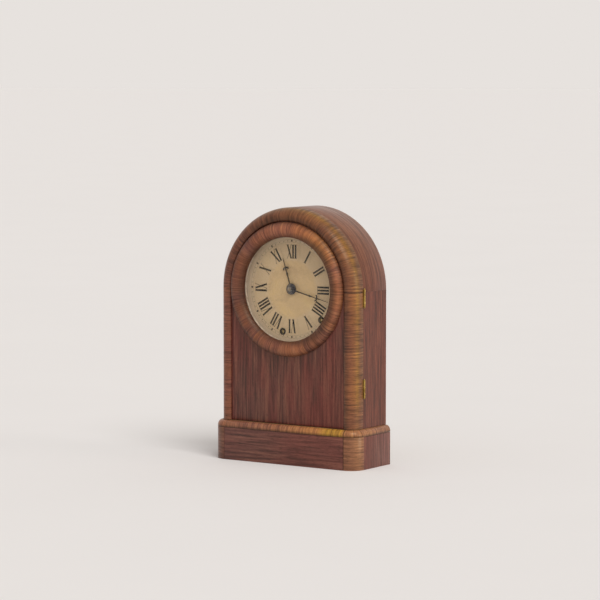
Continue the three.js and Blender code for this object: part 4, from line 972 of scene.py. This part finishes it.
disc_profile = [(0, DIAL_FRONT), (DIAL_RADIUS, DIAL_FRONT), (DIAL_RADIUS, DIAL_BACK), (0, DIAL_BACK)]
disc = turned("dial_disc", disc_profile, ease=0.2)
bored(disc, ARBOR_HOLE, (0, ARCH_CENTRE), 48)
for x, z in WINDING_HOLES.values():
    bored(disc, WINDING_HOLE, (x, ARCH_CENTRE + z), 48)
feet = []
for x, z in DIAL_FEET:
    height = ARCH_CENTRE + z
    feet.append(rod("foot", FOOT_RADIUS, (x, DIAL_BACK - 0.2, height), (x, FOOT_END, height), 24))
fit(joined("dial_face", [disc, *feet]), "case", "dial_paint", dial_paint, "dial_plate")


def stroke(corners):
    """One painted stroke on the dial, from corners of [right, up] about the dial's centre."""
    piece = outline("stroke", [(x, PAINT_UNDER, ARCH_CENTRE + z) for x, z in corners])
    bpy.ops.mesh.edge_face_add()
    put_down()
    return piece


def at_hour(angle, across, out):
    """A point on the dial, across and outwards along an angle that is clockwise from the top."""
    return (
        across * math.cos(angle) + out * math.sin(angle), out * math.cos(angle) - across * math.sin(angle),
    )


def numeral(letters, angle):
    """A numeral standing on the inner ring with its foot to the centre, in thick and thin strokes."""
    start = -sum(LETTER_WIDTHS[letter] for letter in letters) / 2
    strokes = []
    for letter in letters:
        width = LETTER_WIDTHS[letter]
        left, right = start + 1, start + width - 1
        middle = start + width / 2
        start += width
        if letter == "I":
            strokes.append((middle, middle, THICK_STROKE))
        elif letter == "V":
            strokes += [(middle, left, THICK_STROKE), (middle, right, THIN_STROKE)]
        else:
            strokes += [(right, left, THICK_STROKE), (left, right, THIN_STROKE)]
    shapes = []
    top = NUMERAL_FOOT + NUMERAL_HEIGHT
    for foot, head, width in strokes:
        ends = ((foot - width / 2, NUMERAL_FOOT), (foot + width / 2, NUMERAL_FOOT),
                (head + width / 2, top), (head - width / 2, top))
        shapes.append([at_hour(angle, *end) for end in ends])
        for across, out in ((foot, NUMERAL_FOOT), (head, top)):
            left, right = across - width / 2 - SERIF_REACH, across + width / 2 + SERIF_REACH
            low, high = out - SERIF_HALF, out + SERIF_HALF
            serif = ((left, low), (right, low), (right, high), (left, high))
            shapes.append([at_hour(angle, *corner) for corner in serif])
    return shapes


NUMERALS = ("XII", "I", "II", "III", "IIII", "V", "VI", "VII", "VIII", "IX", "X", "XI")
shapes = []
for hour, letters in enumerate(NUMERALS):
    shapes += numeral(letters, math.radians(hour * 30))
for minute in range(60):
    size = MINUTE_DOT if minute % 5 else FIVE_MINUTE_DOT
    low, high = TRACK_RADIUS - size * 1.3, TRACK_RADIUS + size * 1.3
    diamond = ((0, low), (size, TRACK_RADIUS), (0, high), (-size, TRACK_RADIUS))
    shapes.append([at_hour(math.radians(minute * 6), *corner) for corner in diamond])
lettering = joined("dial_numerals", [stroke(shape) for shape in shapes])
open_up()
carry_along((0, PAINT_OVER - PAINT_UNDER, 0))
clean_up(lettering)
circles = []
for radius in TRACK_CIRCLES:
    low, high = radius - CIRCLE_HALF, radius + CIRCLE_HALF
    line = [(low, PAINT_UNDER), (high, PAINT_UNDER), (high, PAINT_OVER), (low, PAINT_OVER)]
    circles.append(turned("track_circle", line))
lettering = joined("dial_numerals", [lettering, *circles])

black_paint = patchy(
    "Black dial paint", (260, 4, 0.3), [(0.35, (44, 36, 29)), (0.5, (24, 21, 18))], (0.6, 0.42),
    Specular_IOR_Level=0.35,
)
fit(lettering, "case", "dial_paint", black_paint)

iron = patchy(
    "Blackened iron", (700, 4, 0.2), [(0.35, (22, 20, 18)), (0.6, (36, 32, 28))], (0.62, 0.4),
    Metallic=0.3, Specular_IOR_Level=0.3,
)
GROMMET_LIP = -20.8
GROMMET_BACK = -18.5
for train, (x, z) in WINDING_HOLES.items():
    lip = [
        (3, GROMMET_LIP - 0.4), (3.4, GROMMET_LIP - 0.7), (4.2, GROMMET_LIP - 0.7), (4.7, GROMMET_LIP - 0.4),
        (4.8, GROMMET_LIP), (3.9, GROMMET_LIP), (3.9, GROMMET_BACK), (3, GROMMET_BACK),
    ]
    ring = turned(f"winding_ring_{train}", lip, (x, ARCH_CENTRE + z), 48)
    fit(ring, "case", "iron", iron, f"grommet_{train}")

# Hands: stamped from thin steel and blued, each a slender blade with a swell, an open crescent that
# hooks back towards the centre, and a fine point. A brass nut holds them.
HOUR_ANGLE = math.radians(342)
MINUTE_ANGLE = math.radians(104)
HAND_THICKNESS = 0.8
HAND_STEM = 0.9

blued = patchy(
    "Blued steel", (300, 3, 0.4), [(0.35, (26, 25, 27)), (0.6, (46, 43, 44))], (0.5, 0.36),
    Metallic=0.5, Specular_IOR_Level=0.4,
)


def laid_over(finish, share, colour):
    """Covers a finish's colour with another, by a share."""
    under = finish.node_tree.nodes["Principled BSDF"].inputs["Base Color"].links[0].from_socket
    give(finish, Base_Color=blend_colours(finish, "MIX", share, under, screen_colour(*colour)))


# Painted highlight: grey laid over the hands' bosses, which also lifts the shade the minute boss casts.
boss_highlight = eased(blued, split(blued, round_the_arch(blued))[0], 0.0062, 0.0078, 0.7, 0)
laid_over(blued, boss_highlight, (98, 94, 94))


def hand(name, angle, back, boss, swell, crescent, tip):
    """A hand drawn upright, turned to its place and cut from sheet. The last four are radii."""
    neck = math.degrees(math.asin(HAND_STEM / boss))
    right = [
        *curve_of((0, 0), (boss, boss), -90, 90 - neck, 20),
        (HAND_STEM * 0.9, boss + 2.5), (HAND_STEM * 0.8, swell - 2.6), (1.4, swell),
        (HAND_STEM * 0.7, swell + 2.6), (0.42, crescent - 2.4), (0.8, crescent - 1.7),
        (1.8, crescent - 1.7), (3, crescent - 2.4),
        (4.2, crescent - 3.6), (4.6, crescent - 2.6), (3.9, crescent - 1), (2.6, crescent - 0.05),
        (1.3, crescent + 0.3), (0.6, crescent + 0.9), (0.48, crescent + 5), (0.14, tip),
    ]
    whole = [*right, *[(-x, z) for x, z in right[:0:-1]]]
    turned_places = [at_hour(angle, x, z) for x, z in whole]
    places = [(x, back, ARCH_CENTRE + z) for x, z in turned_places]
    return drawn_out(name, places, (0, -HAND_THICKNESS, 0), 0.12, 25)


hour_blade = hand("hour_blade", HOUR_ANGLE, -22, boss=7.6, swell=21, crescent=30.5, tip=44)
fit(hour_blade, "hour_work", "blued_steel", blued, "hour_hand")
minute_blade = hand("minute_blade", MINUTE_ANGLE, -24, boss=5, swell=32, crescent=44, tip=63)
fit(minute_blade, "centre_arbor", "blued_steel", blued, "minute_hand")
dress(brass("Nut brass", 0.5, base=(146, 138, 130), stain=(122, 114, 106)), "hand_nut")

# Movement: wheels, plates and pillars of sheet brass, on steel arbors, behind the dial. The winding
# arbors come forward to the dial's holes, with painted shade on their ends: black round a bright middle.
BRIGHT_RADIUS = 1.5
SHADED_RING_RADIUS = 1.9
SHADED_RING_ENDS = (-0.014, -0.012)
DULL_TIP = (-0.022, -0.021)

wheel_brass = brass("Movement brass", 0.3)
for train, (x, z) in WINDING_HOLES.items():
    hole_shaded = brass(f"Oiled {train} arbor", 0.4, base=(196, 172, 122), stain=(150, 124, 78))
    parts = split(hole_shaded, place_on(hole_shaded))
    beside = sums(hole_shaded, "SUBTRACT", parts[0], x * MM)
    above = sums(hole_shaded, "SUBTRACT", parts[2], (ARCH_CENTRE + z) * MM)
    squares = sums(hole_shaded, "ADD", times(hole_shaded, beside, beside), times(hole_shaded, above, above))
    ring = eased(hole_shaded, sums(hole_shaded, "SQRT", squares, 0), BRIGHT_RADIUS * MM, SHADED_RING_RADIUS * MM, 0, 1)
    in_front = eased(hole_shaded, parts[1], *SHADED_RING_ENDS, 1, 0)
    # Painted shade: black on the arbor's end round its bright middle, for the dark inside the winding hole.
    laid_over(hole_shaded, times(hole_shaded, ring, in_front), (24, 21, 18))
    dress(hole_shaded, f"{train}_main_wheel")
plate_brass = brass("Plate brass", 0.42, base=(164, 134, 76), stain=(134, 106, 58))
dress(plate_brass, "front_plate", "back_plate")
dress(
    wheel_brass, "time_second_wheel", "fourth_wheel", "escape_wheel", "strike_second_wheel",
    "strike_third_wheel", "fly", "minute_wheel", "hour_wheel", "suspension_post",
)
handled = brass("Centre arbor brass", 0.4)
dulled_tip = eased(handled, split(handled, place_on(handled))[1], *DULL_TIP, 1, 0)
laid_over(handled, dulled_tip, (152, 132, 110))
dress(handled, "centre_wheel")
steel = patchy(
    "Drawn steel", (900, 3, 0), [(0.35, (96, 94, 92)), (0.6, (146, 145, 143))], (0.48, 0.3),
    pace=(1, 1, 0.1), Metallic=1.0,
)
dress(steel, "time_mainspring", "strike_mainspring", "verge", "pendulum_rod", "hammer")

# Pendulum: a lens of two brass shells pressed together on a steel rod, and a knurled brass nut
# under it that sets the rate.
BOB_X = -28
BOB_Y = -9
BOB_HEIGHT = 93
BOB_RADIUS = 21
BOB_DEPTH = 3.4
BOB_SEAM = 0.6
KNURLS = 36
KNURL_RADII = (2.95, 3.2)
NUT_FOOT = 68.7
NUT_HEIGHT = 3

bob_profile = [
    (0, BOB_Y - BOB_SEAM - BOB_DEPTH),
    *curve_of((0, BOB_Y - BOB_SEAM), (BOB_RADIUS, BOB_DEPTH), -90, 0, 16)[1:],
    *curve_of((0, BOB_Y + BOB_SEAM), (BOB_RADIUS, BOB_DEPTH), 0, 90, 16)[:-1],
    (0, BOB_Y + BOB_SEAM + BOB_DEPTH),
]
bob = turned("bob_shells", bob_profile, (BOB_X, BOB_HEIGHT), 96, smooth=50)
fit(bob, "pendulum", "brass", wheel_brass, "pendulum_bob")
knurled = []
for tooth in range(KNURLS * 2):
    turn = math.pi * tooth / KNURLS
    radius = KNURL_RADII[tooth % 2]
    knurled.append((BOB_X + radius * math.cos(turn), BOB_Y + radius * math.sin(turn), NUT_FOOT))
nut = drawn_out("knurled_nut", knurled, (0, 0, NUT_HEIGHT), 0.1, 20)
fit(nut, "pendulum", "brass", wheel_brass, "rating_nut")

# Gong: a coil of blued spring wire, its inner end held in a cast-iron block on the back. The hammer
# strikes its outer turn.
GONG_CENTRE = (36, 99)
GONG_Y = 29.5
GONG_RADIUS = 33
GONG_PITCH = 6.6
GONG_TURNS = 3.5
GONG_START = 205
GONG_STEPS = 36
GONG_WIRE = 1.2
BLOCK_BACK = 37.2


def wire(name, places, radius):
    """A round wire bent through places in millimetres."""
    put_down()
    bpy.ops.curve.primitive_nurbs_path_add()
    path = bpy.context.active_object.data
    path.splines.clear()
    line = path.splines.new("NURBS")
    line.points.add(len(places) - 1)
    for point, place in zip(line.points, places):
        point.co = (*(Vector(place) * MM), 1)
    line.order_u = 4
    line.use_endpoint_u = True
    line.resolution_u = 3
    path.dimensions = "3D"
    path.bevel_depth = radius * MM
    path.bevel_resolution = 4
    path.use_fill_caps = True
    bpy.ops.object.convert(target="MESH")
    return clean_up(named(name))


coil = []
coil_steps = int(GONG_TURNS * GONG_STEPS)
for step in range(coil_steps + 1):
    coil.append((GONG_RADIUS - GONG_PITCH * step / GONG_STEPS, GONG_START + step * 360 / GONG_STEPS))
end_turn = GONG_START + coil_steps * 360 / GONG_STEPS + 50
coil += [(GONG_RADIUS - GONG_TURNS * GONG_PITCH - 4, end_turn), (3, end_turn)]
coil_places = []
for radius, degrees in coil:
    turn = math.radians(degrees)
    x, z = GONG_CENTRE[0] + radius * math.cos(turn), GONG_CENTRE[1] + radius * math.sin(turn)
    coil_places.append((x, GONG_Y, z))
fit(wire("gong_coil", coil_places, GONG_WIRE), "case", "blued_steel", blued, "gong")
block_profile = [
    (0, GONG_Y - 3), (4.6, GONG_Y - 3), (5.2, GONG_Y - 2.4), (5.2, BLOCK_BACK - 4),
    (9, BLOCK_BACK - 3), (9, BLOCK_BACK), (0, BLOCK_BACK),
]
fit(turned("gong_casting", block_profile, GONG_CENTRE, 64, 0.3), "case", "iron", iron, "gong_block")

# Studio: a pale floor without an edge, an even pale surround, and two broad lamps on the right. The
# key stands high, and the other is low and lights the case's side.
SURROUND_COLOUR = screen_colour(231, 226, 222)
UNSEEN_LIGHT = 0.62
put_down()
bpy.ops.mesh.primitive_plane_add(size=240)
floor = named("studio_floor")
floor_finish = new_finish("Pale studio floor", Roughness=0.85, Specular_IOR_Level=0.1)
mottle = even_noise(floor_finish, 3, 2, 0)
give(floor_finish, Base_Color=tones(floor_finish, mottle, [(0.3, (235, 233, 232)), (0.7, (236, 234, 233))]))
floor.data.materials.append(floor_finish)

world = bpy.data.worlds.new("Studio surround")
bpy.context.scene.world = world
world.use_nodes = True
world.node_tree.nodes.clear()
rays = node(world, "ShaderNodeLightPath", {}).outputs
seen = sums(world, "MAXIMUM", rays["Is Camera Ray"], rays["Is Glossy Ray"])
seen = sums(world, "MAXIMUM", seen, rays["Is Transmission Ray"])
light_level = eased(world, seen, 0, 1, UNSEEN_LIGHT, 1)
surround = node(world, "ShaderNodeBackground", {0: SURROUND_COLOUR, 1: light_level}).outputs[0]
node(world, "ShaderNodeOutputWorld", {0: surround})


def soft_sun(name, side, rise, strength, spread, colour):
    """A far, broad lamp: side is degrees round to the clock's right, rise is degrees up."""
    put_down()
    side, rise = math.radians(side), math.radians(rise)
    towards = Vector((math.sin(side) * math.cos(rise), -math.cos(side) * math.cos(rise), math.sin(rise)))
    bpy.ops.object.light_add(type="SUN", location=towards * 3)
    lamp = bpy.context.active_object
    lamp.name = name
    lamp.rotation_euler = towards.to_track_quat("Z", "Y").to_euler()
    lamp.data.energy = strength
    lamp.data.angle = math.radians(spread)
    lamp.data.color = colour


soft_sun("key_lamp", 58, 48, 1.8, 35, (1, 0.985, 0.965))
soft_sun("side_lamp", 100, 10, 0.6, 22, (1, 0.96, 0.9))
bpy.context.scene.view_settings.view_transform = "Standard"
